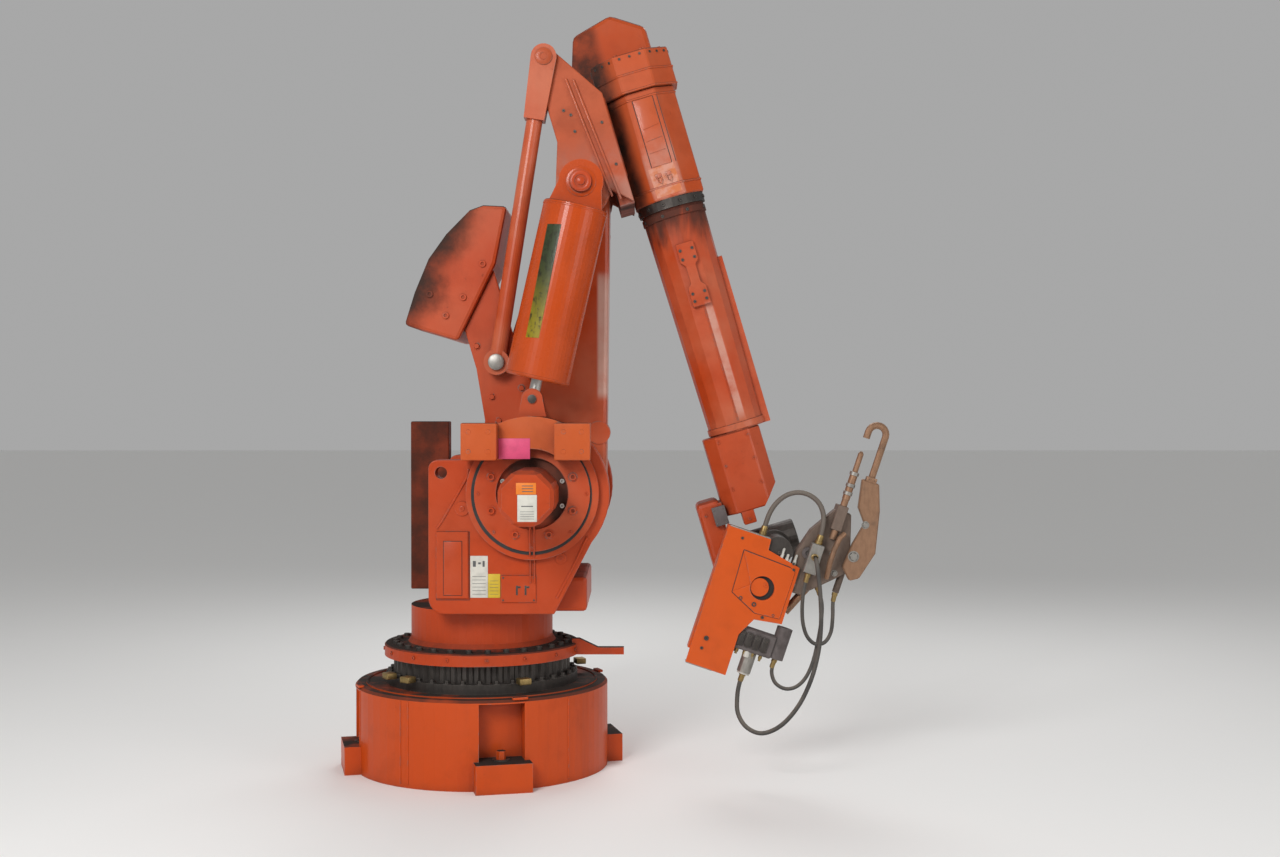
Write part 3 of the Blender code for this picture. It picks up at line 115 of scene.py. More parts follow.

# %% [markdown]
# ## The hoses' routes
# The gun's hoses are tied into loops that leave one fitting and return to another. A smooth
# curve through a few given points gives the sag of a heavy rubber hose. The same points are
# in the solids, so the dressed hose lies exactly where the plain one was.

# %% Routes
HOSE_ROUTES = {
    "hose_arch": (0.016, [
        (1.0809, -0.2934, 0.7496), (1.0875, -0.2934, 0.77), (1.096, -0.292, 0.805),
        (1.098, -0.288, 0.842), (1.086, -0.281, 0.876), (1.06, -0.271, 0.9),
        (1.026, -0.262, 0.91), (0.99, -0.255, 0.903), (0.958, -0.25, 0.88),
        (0.935, -0.248, 0.848), (0.921, -0.248, 0.812), (0.91, -0.248, 0.7748)]),
    "hose_loop_rear": (0.012, [
        (0.9498, -0.245, 0.382), (0.943, -0.245, 0.362), (0.94, -0.245, 0.335),
        (0.952, -0.247, 0.305), (0.982, -0.249, 0.288), (1.016, -0.25, 0.294),
        (1.046, -0.25, 0.322), (1.068, -0.249, 0.368), (1.084, -0.247, 0.43),
        (1.096, -0.246, 0.5), (1.098, -0.245, 0.56), (1.0828, -0.245, 0.6119)]),
    "hose_loop_front": (0.012, [
        (1.0503, -0.2934, 0.6583), (1.043, -0.294, 0.635), (1.035, -0.295, 0.6),
        (1.031, -0.295, 0.55), (1.034, -0.293, 0.5), (1.048, -0.29, 0.458),
        (1.074, -0.286, 0.435), (1.104, -0.279, 0.44), (1.124, -0.269, 0.47),
        (1.131, -0.258, 0.515), (1.133, -0.249, 0.56), (1.14, -0.2452, 0.5924)]),
    "hose_long": (0.014, [
        (1.0676, -0.3142, 0.7101), (1.068, -0.334, 0.7085), (1.071, -0.353, 0.692),
        (1.074, -0.362, 0.66), (1.08, -0.363, 0.6), (1.083, -0.363, 0.52),
        (1.076, -0.362, 0.43), (1.054, -0.36, 0.34), (1.015, -0.354, 0.255),
        (0.962, -0.34, 0.19), (0.905, -0.315, 0.16), (0.858, -0.285, 0.173),
        (0.832, -0.26, 0.213), (0.831, -0.247, 0.265), (0.838, -0.245, 0.305),
        (0.8497, -0.245, 0.3402)]),
}


def smooth_route(points, spacing):
    """Read points at about a spacing from a smooth curve through the route's points."""
    points = [Vector(point) for point in points]
    found = [points[0]]
    for i in range(len(points) - 1):
        before, start, end = points[max(i - 1, 0)], points[i], points[i + 1]
        after = points[min(i + 2, len(points) - 1)]
        steps = max(1, round((end - start).length / spacing))
        for step in range(1, steps + 1):
            t = step / steps
            found.append(0.5 * (2 * start + (end - before) * t
                    + (2 * before - 5 * start + 4 * end - after) * t ** 2
                    + (3 * start - before - 3 * end + after) * t ** 3))
    return found


# %% [markdown]
# ## Shader sums in plain Python
# A procedural finish is arithmetic on noise. `Wire` wraps a shader socket, and its operators add
# the Math nodes, so that `dirt * 0.5 + rust` reads like a formula. `Finish.node` makes any
# other node from its type, its settings and the values or wires of its sockets.

# %% Wires
class Wire:
    """A shader socket that takes part in sums."""

    def __init__(self, finish, socket):
        self.finish = finish
        self.socket = socket

    def _sum(self, operation, first, second):
        return self.finish.node("Math", {"operation": operation}, {0: first, 1: second})

    def __add__(self, other):
        return self._sum("ADD", self, other)

    __radd__ = __add__

    def __sub__(self, other):
        return self._sum("SUBTRACT", self, other)

    def __rsub__(self, other):
        return self._sum("SUBTRACT", other, self)

    def __mul__(self, other):
        return self._sum("MULTIPLY", self, other)

    __rmul__ = __mul__

    def larger(self, other):
        return self._sum("MAXIMUM", self, other)

    def within(self, low, high):
        """0 below low, 1 above high, and a smooth slope between them."""
        return self.finish.node("MapRange", {"interpolation_type": "SMOOTHSTEP"},
                {"Value": self, "From Min": low, "From Max": high})

# %% Materials from wires
class Finish:
    """A material with the nodes that feed its shader."""

    def __init__(self, name, **constants):
        self.material = bpy.data.materials.new(name)
        self.material.use_nodes = True
        self.tree = self.material.node_tree
        self.shader = self.tree.nodes["Principled BSDF"]
        for socket, value in constants.items():
            self.shader.inputs[socket.replace("_", " ")].default_value = value
        self.space = self.node("TexCoord", output="Object")
        self.facing = self.node("TexCoord", output="Normal")

    def feed(self, socket, value):
        """Link a wire to a socket, or set its number or colour."""
        if isinstance(value, Wire):
            self.tree.links.new(value.socket, socket)
        else:
            socket.default_value = (*value, 1.0) if socket.type == "RGBA" else value

    def node(self, kind, settings=None, inputs=None, output=0):
        made = self.tree.nodes.new("ShaderNode" + kind)
        for name, value in (settings or {}).items():
            setattr(made, name, value)
        for name, value in (inputs or {}).items():
            self.feed(made.inputs[name], value)
        return Wire(self, made.outputs[output])

    def noise(self, scale, detail=4.0, roughness=0.55, stretch=(1, 1, 1)):
        space = self.node("VectorMath", {"operation": "MULTIPLY"}, {0: self.space, 1: stretch})
        return self.node("TexNoise", {}, {"Vector": space, "Scale": scale, "Detail": detail,
                "Roughness": roughness})

    def along(self, first, second):
        """The dot product of two vectors."""
        return self.node("VectorMath", {"operation": "DOT_PRODUCT"}, {0: first, 1: second}, 1)

    def past(self, place, direction, carrier=UPRIGHT):
        """How far the surface lies past a plane in the frame of its carrier, in metres."""
        direction = (carrier.to_3x3() @ Vector(direction)).normalized()
        return self.along(self.space, tuple(direction)) - direction.dot(carrier @ Vector(place))

    def up(self):
        """How much the surface faces up."""
        return self.node("SeparateXYZ", {}, {0: self.facing}, 2)

    def mix(self, factor, first, second):
        """A colour between two colours."""
        return self.node("Mix", {"data_type": "RGBA"}, {0: factor, 6: first, 7: second}, 2)

    def edges(self, radius):
        """1 on sharp edges, where a rounded normal would differ from the true one."""
        rounded = self.node("Bevel", {"samples": 4}, {"Radius": radius})
        flat = self.node("NewGeometry", output="Normal")
        return (1 - self.along(rounded, flat)).within(0.02, 0.22)

    def corners(self, distance):
        """1 in the corners and slots, from ambient occlusion: painted shade there, and the dirt that
        gathers in them.
        """
        open_share = self.node("AmbientOcclusion", {"samples": 6}, {"Distance": distance}, 1)
        return (1 - open_share).within(0.22, 0.85)

    def surface(self, tint, roughness, height=None, depth=0.001, strength=0.5, **others):
        """Link what varies to the shader, with the height as a bump."""
        for name, value in {"Base_Color": tint, "Roughness": roughness, **others}.items():
            self.feed(self.shader.inputs[name.replace("_", " ")], value)
        if height is not None:
            bump = self.node("Bump", {}, {"Strength": strength, "Distance": depth, "Height": height})
            self.feed(self.shader.inputs["Normal"], bump)
        return self.material


def scaled(shade, factor):
    """A darker or brighter tone of a colour."""
    return [x * factor for x in shade]


# %% [markdown]
# ## Worn orange paint
# The robot has stood for years in a welding shop. Its paint is still glossy on upright faces,
# a little bleached where hands and cables rub, chipped to grey primer on the edges, and covered
# with brown soot on all that faces up. Shade is painted dark into corners and slots, and sharp
# edges get a painted highlight. One function paints every casting, with its own share of
# soot and gloss, so that the castings belong together but aren't alike.

# %% Paint
ORANGE = (0.455, 0.046, 0.004)
BRIGHT_ORANGE = (0.53, 0.061, 0.003)
PALE_ORANGE = (0.53, 0.165, 0.085)
# A pale tone for faded paint, also used for painted highlights.
FADED_AND_HIGHLIGHT = (0.6, 0.34, 0.27)
PRIMER = (0.2, 0.165, 0.14)
# This near-black darkens soot and dirt, and also paints shade into corners and slots.
SOOT_AND_SHADE = (0.03, 0.022, 0.018)


def painted(name, shade=ORANGE, soot=0.6, bleach=0.35, gloss=0.3, chips=0.5, lumps=0.5, streaks=0.3,
        stain_and_shade=None, pale=None):
    """Worn gloss paint. Soot, bleach, chips, lumps and streaks are amounts from 0 to 1.

    The stain and pale functions take the finish and a noise. The stain gives where the paint is
    black, with dirt and painted shade; pale gives where it is washed out, by fading and painted highlights.
    """
    paint = Finish(name, Metallic=0.0, Coat_Roughness=0.12, Specular_IOR_Level=0.22)
    broad = paint.noise(2.6, 5)
    patch = paint.noise(9.0, 6, 0.62)
    fine = paint.noise(70.0, 3)
    runs = paint.noise(16.0, 4, 0.6, (1, 1, 0.09))
    edge = paint.edges(0.006)
    # The corner mask paints shade into corners and slots, along with the dirt that gathers there.
    corner_shade = paint.corners(0.055)

    dust = paint.up().within(0.25, 0.95) * (patch * 0.55 + broad * 0.75).within(0.3, 0.72)
    run = (runs * 0.6 + broad * 0.5).within(0.6, 0.8)
    speck = fine.within(0.66, 0.74) * patch.within(0.5, 0.62)
    grime_and_shade = (dust * soot * 1.15).larger(corner_shade * (0.35 + patch * 0.6) * (0.45 + soot * 0.4))
    grime_and_shade = grime_and_shade.larger(run * streaks * 0.45).larger(speck * 0.35 * soot)
    if stain_and_shade:
        grime_and_shade = grime_and_shade.larger(stain_and_shade(paint, patch))
    chip = edge * (patch * 0.8 + fine * 0.5).within(0.52, 0.74) * chips

    tint = paint.mix(broad.within(0.32, 0.7) * bleach, shade, PALE_ORANGE)
    tint = paint.mix(patch.within(0.48, 0.7) * 0.28, tint, scaled(shade, 0.62))
    if pale:
        tint = paint.mix(pale(paint, patch), tint, FADED_AND_HIGHLIGHT)
    # Sharp edges are painted lighter: a painted highlight along the edges.
    tint = paint.mix(edge * 0.3, tint, [min(1.0, x * 1.35 + 0.02) for x in shade])
    tint = paint.mix(chip.within(0.25, 0.6), tint, PRIMER)
    tint = paint.mix(grime_and_shade, tint, SOOT_AND_SHADE)

    rough = gloss + broad * 0.14 + fine * 0.08 + grime_and_shade * 0.42 + chip * 0.25
    height = patch * lumps * 0.5 + fine * 0.16 - chip * 0.25 + grime_and_shade * fine * 0.3
    shiny = (1 - grime_and_shade.within(0.05, 0.5)) * 0.16
    return paint.surface(tint, rough, height, 0.0022, 0.42, Coat_Weight=shiny)


# %% [markdown]
# ## Stains, faded places and painted light
# Some marks belong to one place of one casting: grease round the motors, soot on the back of the
# counterweight, painted shade on the housing's side next to the lever, and pale painted highlights
# down the forearm and along the lower arm's front edge. Each is measured with planes in the frame of its
# casting, and noise breaks up its border.

# %% Stains
def recess_grease(paint, patch):
    """Black grease round the motor, most of it above and in front."""
    sideways = paint.past(SHOULDER, (1, 0, 0))
    upwards = paint.past(SHOULDER, UP)
    inside = 1 - (sideways * sideways + upwards * upwards).within(0.0116, 0.0134)
    return inside * (sideways + upwards * 0.8 + patch * 0.1).within(-0.02, 0.07) * (0.55 + patch * 0.6)


def weight_soot(paint, patch):
    """Soot on the counterweight's back and top, which fades out down its sides."""
    past = paint.past((-0.251, 0, 0.629), (-0.693, 0, 0.721), CRANK)
    return (past + patch * 0.14).within(-0.02, 0.1) * 0.97


def collar_grease(paint, patch):
    """Grease that has run down the forearm from the collar."""
    runs = paint.noise(30.0, 3, 0.6, (1, 1, 0.12))
    past = paint.past((ELBOW_OFFSET, 0, -0.12), DOWN, UPPER_ARM)
    return (1 - (past - runs * 0.22 - patch * 0.06).within(-0.12, 0.02)) * 0.85


def lever_side_shade(paint, patch):
    """Painted shade on the side of the motor housing that faces the elbow's lever, between the two parts.
    """
    past = paint.past((0.196, 0, 0), (-1, 0, 0), UPPER_ARM)
    lever = paint.past((0, -0.132, 0), NEAR).within(0, 0.008)
    return past.within(-0.012, 0.03) * (0.25 + patch * 0.9).within(0.3, 0.9) * (1 - lever * 0.8)


def lower_fade(paint, patch):
    """The near side of the motor housing is washed out towards its front end."""
    past = paint.past((0, 0, 0.115), DOWN, UPPER_ARM)
    near = paint.past((0, -0.106, 0), NEAR)
    return past.within(-0.07, 0.14) * near.within(0, 0.004) * patch.within(0.3, 0.62) * 0.55


def pale_streak_highlight(paint, patch):
    """A pale streak down the near side of the forearm: a painted highlight on bleached paint."""
    across = paint.past((0.286, 0, 0), (1, 0, 0), UPPER_ARM)
    along = paint.past((0, 0, -0.655), UP, UPPER_ARM)
    near = paint.past((0, -0.05, 0), NEAR)
    strip = (1 - (across * across).within(0.00009, 0.0002)) * (1 - (along * along).within(0.026, 0.043))
    return strip * near.within(0, 0.01) * (0.2 + patch * 1.1).within(0.4, 0.85) * 0.8


def front_glare_highlight(paint, patch):
    """A painted highlight: the front edge of the lower arm is painted pale in its middle third."""
    forward = paint.past((0.384, 0, 0), (1, 0, 0)).within(-0.004, 0.008)
    height = paint.past((0, 0, 1.41), UP)
    return forward * (1 - (height * height).within(0.032, 0.046)) * (0.5 + patch * 0.8).within(0.5, 1.0)


def box_dirt(paint, patch):
    """The cable box is dark all over."""
    return (patch * 1.2).within(0.15, 0.75) * 0.8


# %% Paints of the castings
CASTING = painted("casting_paint", bleach=0.25)
FLANGE_PAINT = painted("flange_paint", bleach=0.45, stain_and_shade=recess_grease)
DRUM = painted("drum_paint", BRIGHT_ORANGE, soot=1.0, bleach=0.05, gloss=0.34, streaks=0.5)
TURNTABLE = painted("turntable_paint", soot=1.0, bleach=0.1, gloss=0.42, streaks=0.8)
BOX_PAINT = painted("cable_box_paint", (0.26, 0.032, 0.005), soot=1.0, bleach=0.05, gloss=0.45,
        stain_and_shade=box_dirt)
WEIGHT = painted("weight_paint", soot=1.0, bleach=0.4, gloss=0.36, lumps=0.9, streaks=0.4,
        stain_and_shade=weight_soot)
CYLINDER = painted("cylinder_paint", (0.47, 0.055, 0.003), soot=0.5, bleach=0.1, gloss=0.16,
        lumps=0.12, streaks=0.25)
# The lower arm's front edge carries a painted highlight.
ARM_PAINT = painted("arm_paint", soot=0.7, bleach=0.7, gloss=0.24, lumps=0.3, pale=front_glare_highlight)
BEAM_PAINT = painted("beam_paint", (0.52, 0.082, 0.01), soot=0.9, bleach=0.4, gloss=0.28)
# The housing gets painted shade on its side by the lever, and a faded near side.
HOUSING = painted("housing_paint", (0.49, 0.06, 0.004), soot=0.7, lumps=0.4,
        stain_and_shade=lever_side_shade, pale=lower_fade)
# The forearm's pale streak is a painted highlight on bleached paint.
FOREARM = painted("forearm_paint", bleach=0.7, streaks=0.8, stain_and_shade=collar_grease, pale=pale_streak_highlight)
TOOL_PAINT = painted("bracket_paint", (0.59, 0.08, 0.004), soot=0.4, bleach=0.05, gloss=0.36, lumps=0.1)
print("paints:", len(bpy.data.materials))

# %% [markdown]
# ## Steel, copper and rubber
# Bare steel in a weld shop is never clean: it is dark with oil and dust, with brighter metal
# where it rubs. The hoses are matt black rubber with grey dust on their upper side.

# %% Other finishes
def metal(name, shade, worn, rough=0.42, metallic=0.9, dirt=0.6, grain=90.0):
    """Dirty bare metal, brighter on its edges, with painted shade in its corners."""
    steel = Finish(name, Specular_IOR_Level=0.5)
    broad = steel.noise(14.0, 5)
    fine = steel.noise(grain, 4, 0.6, (1, 1, 0.4))
    edge = steel.edges(0.002)
    dust = steel.up().within(0.1, 0.9) * broad.within(0.3, 0.7)
    # Grime here is oil and dust, with painted shade in the corners.
    grime_and_shade = (steel.corners(0.02) * 0.8).larger(broad.within(0.5, 0.72) * dirt).larger(dust * dirt)
    tint = steel.mix(fine.within(0.3, 0.7) * 0.5, shade, scaled(shade, 0.6))
    tint = steel.mix(edge * 0.6, tint, worn)
    tint = steel.mix(grime_and_shade * 0.85, tint, SOOT_AND_SHADE)
    return steel.surface(tint, rough + fine * 0.15 + grime_and_shade * 0.35, fine * 0.6 + broad * 0.4, 0.0006, 0.4,
            Metallic=(1 - grime_and_shade * 0.8) * metallic)


DARK_STEEL = metal("dark_steel", (0.085, 0.075, 0.068), (0.3, 0.27, 0.24), dirt=0.5)
GREY_STEEL = metal("grey_steel", (0.36, 0.34, 0.31), (0.6, 0.58, 0.54), dirt=0.35)
BRIGHT_STEEL = metal("bright_steel", (0.62, 0.6, 0.56), (0.8, 0.78, 0.74), 0.26, 1.0, 0.15)
COPPER = metal("tarnished_copper", (0.33, 0.185, 0.11), (0.55, 0.34, 0.21), 0.44, 0.65, 0.5)
GUN_CAST = metal("gun_casting", (0.19, 0.135, 0.105), (0.36, 0.28, 0.22), 0.48, 0.45, 0.6, 60.0)
GREY_CAST = metal("grey_casting", (0.135, 0.112, 0.108), (0.32, 0.29, 0.27), 0.58, 0.15, 0.5)
BRASS = metal("dull_brass", (0.36, 0.25, 0.1), (0.6, 0.44, 0.18), 0.36, 0.9, 0.3)


def rubber(name, shade, dusty):
    """Hose rubber with dust on top."""
    hose = Finish(name, Metallic=0.0, Specular_IOR_Level=0.4)
    fine = hose.noise(240.0, 3)
    broad = hose.noise(18.0, 4)
    dust = hose.up().within(-0.6, 0.8) * broad.within(0.2, 0.7) * dusty
    tint = hose.mix(dust, shade, (0.17, 0.145, 0.12))
    tint = hose.mix(hose.edges(0.001) * 0.3, tint, (0.12, 0.115, 0.11))
    return hose.surface(tint, 0.42 + dust * 0.4 + fine * 0.12, fine + broad, 0.0005, 0.5)


RUBBER = rubber("hose_rubber", (0.042, 0.039, 0.037), 0.9)
BRAIDED = rubber("pale_hose_rubber", (0.115, 0.092, 0.076), 1.0)
# This near-black rubber finish is painted shade: lines and discs put in steps, gaps and holes where shade
# falls.
SHADE_BLACK = rubber("shade_black", (0.012, 0.012, 0.012), 0.3)


def plastic(name, shade, rough=0.45):
    """A plain moulded plastic or a printed film, yellowed and scuffed."""
    film = Finish(name, Metallic=0.0, Specular_IOR_Level=0.5)
    broad = film.noise(40.0, 5)
    fine = film.noise(300.0, 3)
    tint = film.mix(broad.within(0.35, 0.75) * 0.35, shade, scaled(shade, 0.55))
    tint = film.mix(film.edges(0.002) * 0.4, tint, scaled(shade, 0.35))
    return film.surface(tint, rough + broad * 0.2, fine, 0.0002, 0.3)


WHITE_FILM = plastic("white_film", (0.62, 0.6, 0.53))
YELLOW_FILM = plastic("yellow_film", (0.62, 0.43, 0.02))
PINK_FILM = plastic("pink_film", (0.72, 0.075, 0.19))
ORANGE_FILM = plastic("orange_film", (0.78, 0.2, 0.01))
GREY_INK = plastic("grey_ink", (0.1, 0.1, 0.1))
PALE_PLASTIC = plastic("pale_plastic", (0.55, 0.53, 0.48))

# %% [markdown]
# ## Dress the solids
# The castings' shapes are already right, so each keeps its solid and only gets its finish.

# %% Finishes of the solids
SIDES = {"near": -1, "far": 1}


def pair(*names):
    """The names of solids that stand on both sides."""
    return [f"{side}_{name}" for name in names for side in SIDES]


DRESS = {
    DRUM: ["base_drum"],
    TURNTABLE: ["turntable_ring", "turret_neck"],
    BOX_PAINT: ["rear_cable_box"],
    CASTING: ["frame_floor", "crank_arm", "wrist_housing", "wrist_leg",
              *pair("cheek", "motor", "balancer_bracket")],
    FLANGE_PAINT: pair("gearbox_flange"),
    BEAM_PAINT: pair("buffer_beam"),
    ARM_PAINT: ["lower_arm", "tie_rod", "elbow_pin"],
    WEIGHT: ["counterweight"],
    CYLINDER: pair("balancer"),
    HOUSING: ["elbow_housing", "motor_housing", "motor_housing_rim", "far_motor_cover"],
    FOREARM: ["forearm_tube", "forearm_bracket"],
    TOOL_PAINT: ["gun_bracket"],
    DARK_STEEL: ["slewing_ring", "roll_collar", "tilt_head", "tool_flange"],
    GUN_CAST: ["gun_body"],
    GREY_CAST: ["valve_block"],
    GREY_STEEL: ["crank_pin", "plug_socket", "hose_manifold"],
    BRIGHT_STEEL: pair("piston_rod"),
    COPPER: ["gun_arm", "hook_electrode", "moving_electrode"],
}
for finish, names in DRESS.items():
    for name in names:
        nodes[name].data.materials.clear()
        nodes[name].data.materials.append(finish)
print("dressed:", sum(len(names) for names in DRESS.values()))

# %% [markdown]
# ## The hoses
# A hose is a curve with a round bevel. It rides with the tool, stands for its plain solid and
# says its real length, which the route itself gives.

# %% Hoses
hose_ends = []
for name, (diameter, points) in HOSE_ROUTES.items():
    route = smooth_route(points, diameter * 0.7)
    curve = bpy.data.curves.new(name + "_rubber", "CURVE")
    curve.dimensions = "3D"
    curve.bevel_depth = diameter / 2
    curve.bevel_resolution = 4
    curve.use_fill_caps = True
    line = curve.splines.new("POLY")
    line.points.add(len(route) - 1)
    for point, place in zip(line.points, route):
        point.co = (*place, 1)
    line.use_smooth = True
    curve.materials.append(BRAIDED if name == "hose_arch" else RUBBER)
    hose = add_object(name + "_rubber", curve)
    length = sum((b - a).length for a, b in zip(route, route[1:]))
    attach(hose, "tool")
    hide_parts(name)
    hose_ends += [(route[0], route[1] - route[0], diameter), (route[-1], route[-2] - route[-1], diameter)]
    print(name, "is", round(length, 3), "m long")

# %% [markdown]
# ## Making small pieces
# All the small parts come from a few shapes: a turned profile, a flat outline with thickness,
# and a tube along a line. `Shape` collects them in one mesh, so that a ring of screws is one
# piece. It knows the body that carries it and its finish, and `ride`, or the end of a `with`
# block, turns it into an object there.

# %% Shape
SLOTS = {finish: "robot_paint" for finish in DRESS if finish.name.endswith("_paint")}
SLOTS |= {TOOL_PAINT: "tool_paint", DARK_STEEL: "dark_steel", BRIGHT_STEEL: "bright_steel",
        COPPER: "copper"}


class Shape:
    """One piece of the scene, collected from turned, flat and tubular forms."""

    def __init__(self, name, body, finish, slot=None, space=None):
        self.name, self.body, self.finish = name, body, finish
        self.slot = SLOTS.get(finish) if slot is None else slot
        self.space = FRAMES.get(body, UPRIGHT) if space is None else space
        self.work = bmesh.new()

    def __enter__(self):
        return self

    def __exit__(self, *problem):
        self.ride()

    def settle(self, matrix, verts):
        """Move new points from their own space into the world."""
        bmesh.ops.transform(self.work, matrix=self.space @ matrix, verts=verts)
        return self

    def turned(self, place, axis, profile, steps=24):
        """A profile of (radius, height) points, turned round an axis at a place."""
        turn = Vector(axis).to_track_quat("Z", "Y").to_matrix().to_4x4()
        angles = [2 * pi * i / steps for i in range(steps)]
        rings = [[self.work.verts.new((radius * cos(a), radius * sin(a), height))
                for a in (angles if radius else [0])] for radius, height in profile]
        for low, high in zip(rings, rings[1:]):
            for i in range(steps):
                corners = [low[i % len(low)], low[(i + 1) % len(low)],
                        high[(i + 1) % len(high)], high[i % len(high)]]
                corners = list(dict.fromkeys(corners))
                if len(corners) > 2:
                    self.work.faces.new(corners)
        return self.settle(Matrix.Translation(place) @ turn, [v for ring in rings for v in ring])

    def disc(self, place, axis, profile, steps=24):
        """A turned solid: its profile is closed on the axis at both ends."""
        return self.turned(place, axis, [(0, profile[0][1]), *profile, (0, profile[-1][1])], steps)

    def flat(self, outline, start, end, bevel=0.0):
        """An outline of (x, z) points, from one y to another."""
        low, high = sorted((start, end))
        near = [self.work.verts.new((x, low, z)) for x, z in outline]
        grown = bmesh.ops.extrude_face_region(self.work, geom=[self.work.faces.new(near)])
        moved = [g for g in grown["geom"] if isinstance(g, bmesh.types.BMVert)]
        bmesh.ops.translate(self.work, verts=moved, vec=(0, high - low, 0))
        if bevel:
            verts = set(near + moved)
            edges = [e for e in self.work.edges if e.verts[0] in verts and e.verts[1] in verts]
            made = bmesh.ops.bevel(self.work, geom=edges, offset=bevel, segments=2, affect="EDGES",
                    profile=0.5, clamp_overlap=True)
            moved, near = [v for v in verts if v.is_valid], made["verts"]
        return self.settle(UPRIGHT, list(dict.fromkeys(near + moved)))

    def box(self, low, high, bevel=0.0):
        """A block between two corners."""
        outline = [(low[0], low[2]), (high[0], low[2]), (high[0], high[2]), (low[0], high[2])]
        return self.flat(outline, low[1], high[1], bevel)

    def tube(self, points, radius, sides=10):
        """A round bar along a line of points, closed at both ends."""
        points = [Vector(p) for p in points]
        rings = []
        side = None
        for i, point in enumerate(points):
            along = (points[min(i + 1, len(points) - 1)] - points[max(i - 1, 0)]).normalized()
            if side is None:
                side = along.orthogonal().normalized()
            side = (side - along * side.dot(along)).normalized()
            other = along.cross(side)
            rings.append([self.work.verts.new(point + radius * (
                side * cos(2 * pi * k / sides) + other * sin(2 * pi * k / sides)))
                for k in range(sides)])
        for low, high in zip(rings, rings[1:]):
            for k in range(sides):
                self.work.faces.new([low[k], low[(k + 1) % sides], high[(k + 1) % sides], high[k]])
        self.work.faces.new(rings[0][::-1])
        self.work.faces.new(rings[-1])
        return self.settle(UPRIGHT, [v for ring in rings for v in ring])

    def screw(self, place, axis, radius, height):
        """A round cap screw with a hexagon socket, standing on a face."""
        hole = radius * 0.52
        return self.disc(place, axis, [(radius, 0), (radius, height * 0.86), (radius * 0.9, height),
                (hole, height), (hole, height * 0.35)], 18)

    def nut(self, place, axis, radius, height):
        """A hexagon head on its washer."""
        self.turned(place, axis, [(0, 0), (radius * 1.35, 0), (radius * 1.35, height * 0.2),
                (radius, height * 0.2)])
        return self.disc(place, axis, [(radius, height * 0.1), (radius, height * 0.88),
                (radius * 0.86, height)], 6)

    def ride(self, smooth=35):
        """Turn the forms into an object on the body."""
        bmesh.ops.recalc_face_normals(self.work, faces=self.work.faces)
        mesh = bpy.data.meshes.new(self.name)
        self.work.to_mesh(mesh)
        self.work.free()
        mesh.materials.append(self.finish)
        mesh.shade_smooth()
        mesh.set_sharp_from_angle(angle=radians(smooth))
        made = add_object(self.name, mesh)
        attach(made, self.body)

# %% Places on circles
def around(centre, radius, angles, y):
    """Places on a circle in an upright plane, by angles in degrees."""
    return [(centre[0] + radius * cos(radians(a)), y, centre[1] + radius * sin(radians(a)))
            for a in angles]


def ring(radius, angles, z, x=0.0):
    """Places on a level circle with their outward directions, by angles in degrees."""
    outward = [(cos(radians(a)), sin(radians(a)), 0) for a in angles]
    return [((x + radius * out[0], radius * out[1], z), out) for out in outward]


EIGHTHS = [22.5 + 45 * i for i in range(8)]

# %% [markdown]
# ## Gearbox flanges
# Each shoulder gearbox is bolted on with a ring of big socket screws, and the motor stands in
# a greasy recess with four bright ones. The step round the flange holds painted shade: a near-black
# crescent, given by two circles with slightly different middles, is widest at the lower left.

# %% Flange screws and step shade
CHEEK_FACE = 0.31
FLANGE_FACE = 0.3403
FLANGE_STEP_FACE = 0.3323
RECESS_FACE = 0.3223
SHOULDER_AT = (SHOULDER.x, SHOULDER.z)
SHADE_CRESCENT_AT = (SHOULDER.x - 0.0022, SHOULDER.z - 0.0026)
for name, side in SIDES.items():
    out = (0, side, 0)
    with Shape(name + "_flange_screws", "turret", CASTING) as screws:
        angles = [a for a in EIGHTHS if not 60 < a < 120]
        for place in around(SHOULDER_AT, 0.137, angles, side * FLANGE_FACE):
            screws.disc(place, out, [(0.0155, 0), (0.0155, 0.0015)])
            screws.screw(place, out, 0.0115, 0.009)
        angles = (0, 45, 135, 180, 225, 270, 315)
        for place in around(SHOULDER_AT, 0.1685, angles, side * FLANGE_FACE):
            screws.screw(place, out, 0.0055, 0.003)
    with Shape(name + "_recess_screws", "turret", BRIGHT_STEEL) as screws:
        for place in around(SHOULDER_AT, 0.1005, (22.5, 157.5, 202.5, 337.5), side * RECESS_FACE):
            screws.screw(place, out, 0.0075, 0.006)
    # A near-black crescent in the flange's step is painted shade, widest at the lower left.
    crescent = (around(SHADE_CRESCENT_AT, 0.188, range(180, -181, -5), 0)
            + around(SHOULDER_AT, 0.1806, range(-180, 181, 5), 0))
    with Shape(name + "_flange_step_shade", "turret", SHADE_BLACK, "hose_rubber") as step_shade:
        step_shade.flat([(x, z) for x, _, z in crescent], side * (FLANGE_STEP_FACE - 0.0002),
                side * (FLANGE_STEP_FACE + 0.0022))
print("flanges done")

# %% [markdown]
# ## Labels
# On the real robot a data plate and some printed films are stuck on the near side. They are kept as
# plain films with ruled lines, without any words or signs.

# %% Labels
MOTOR_END = 0.6226
BEAM_FACE = 0.3806
FILM_GAP = 0.0003
FILM_THICKNESS = 0.0007


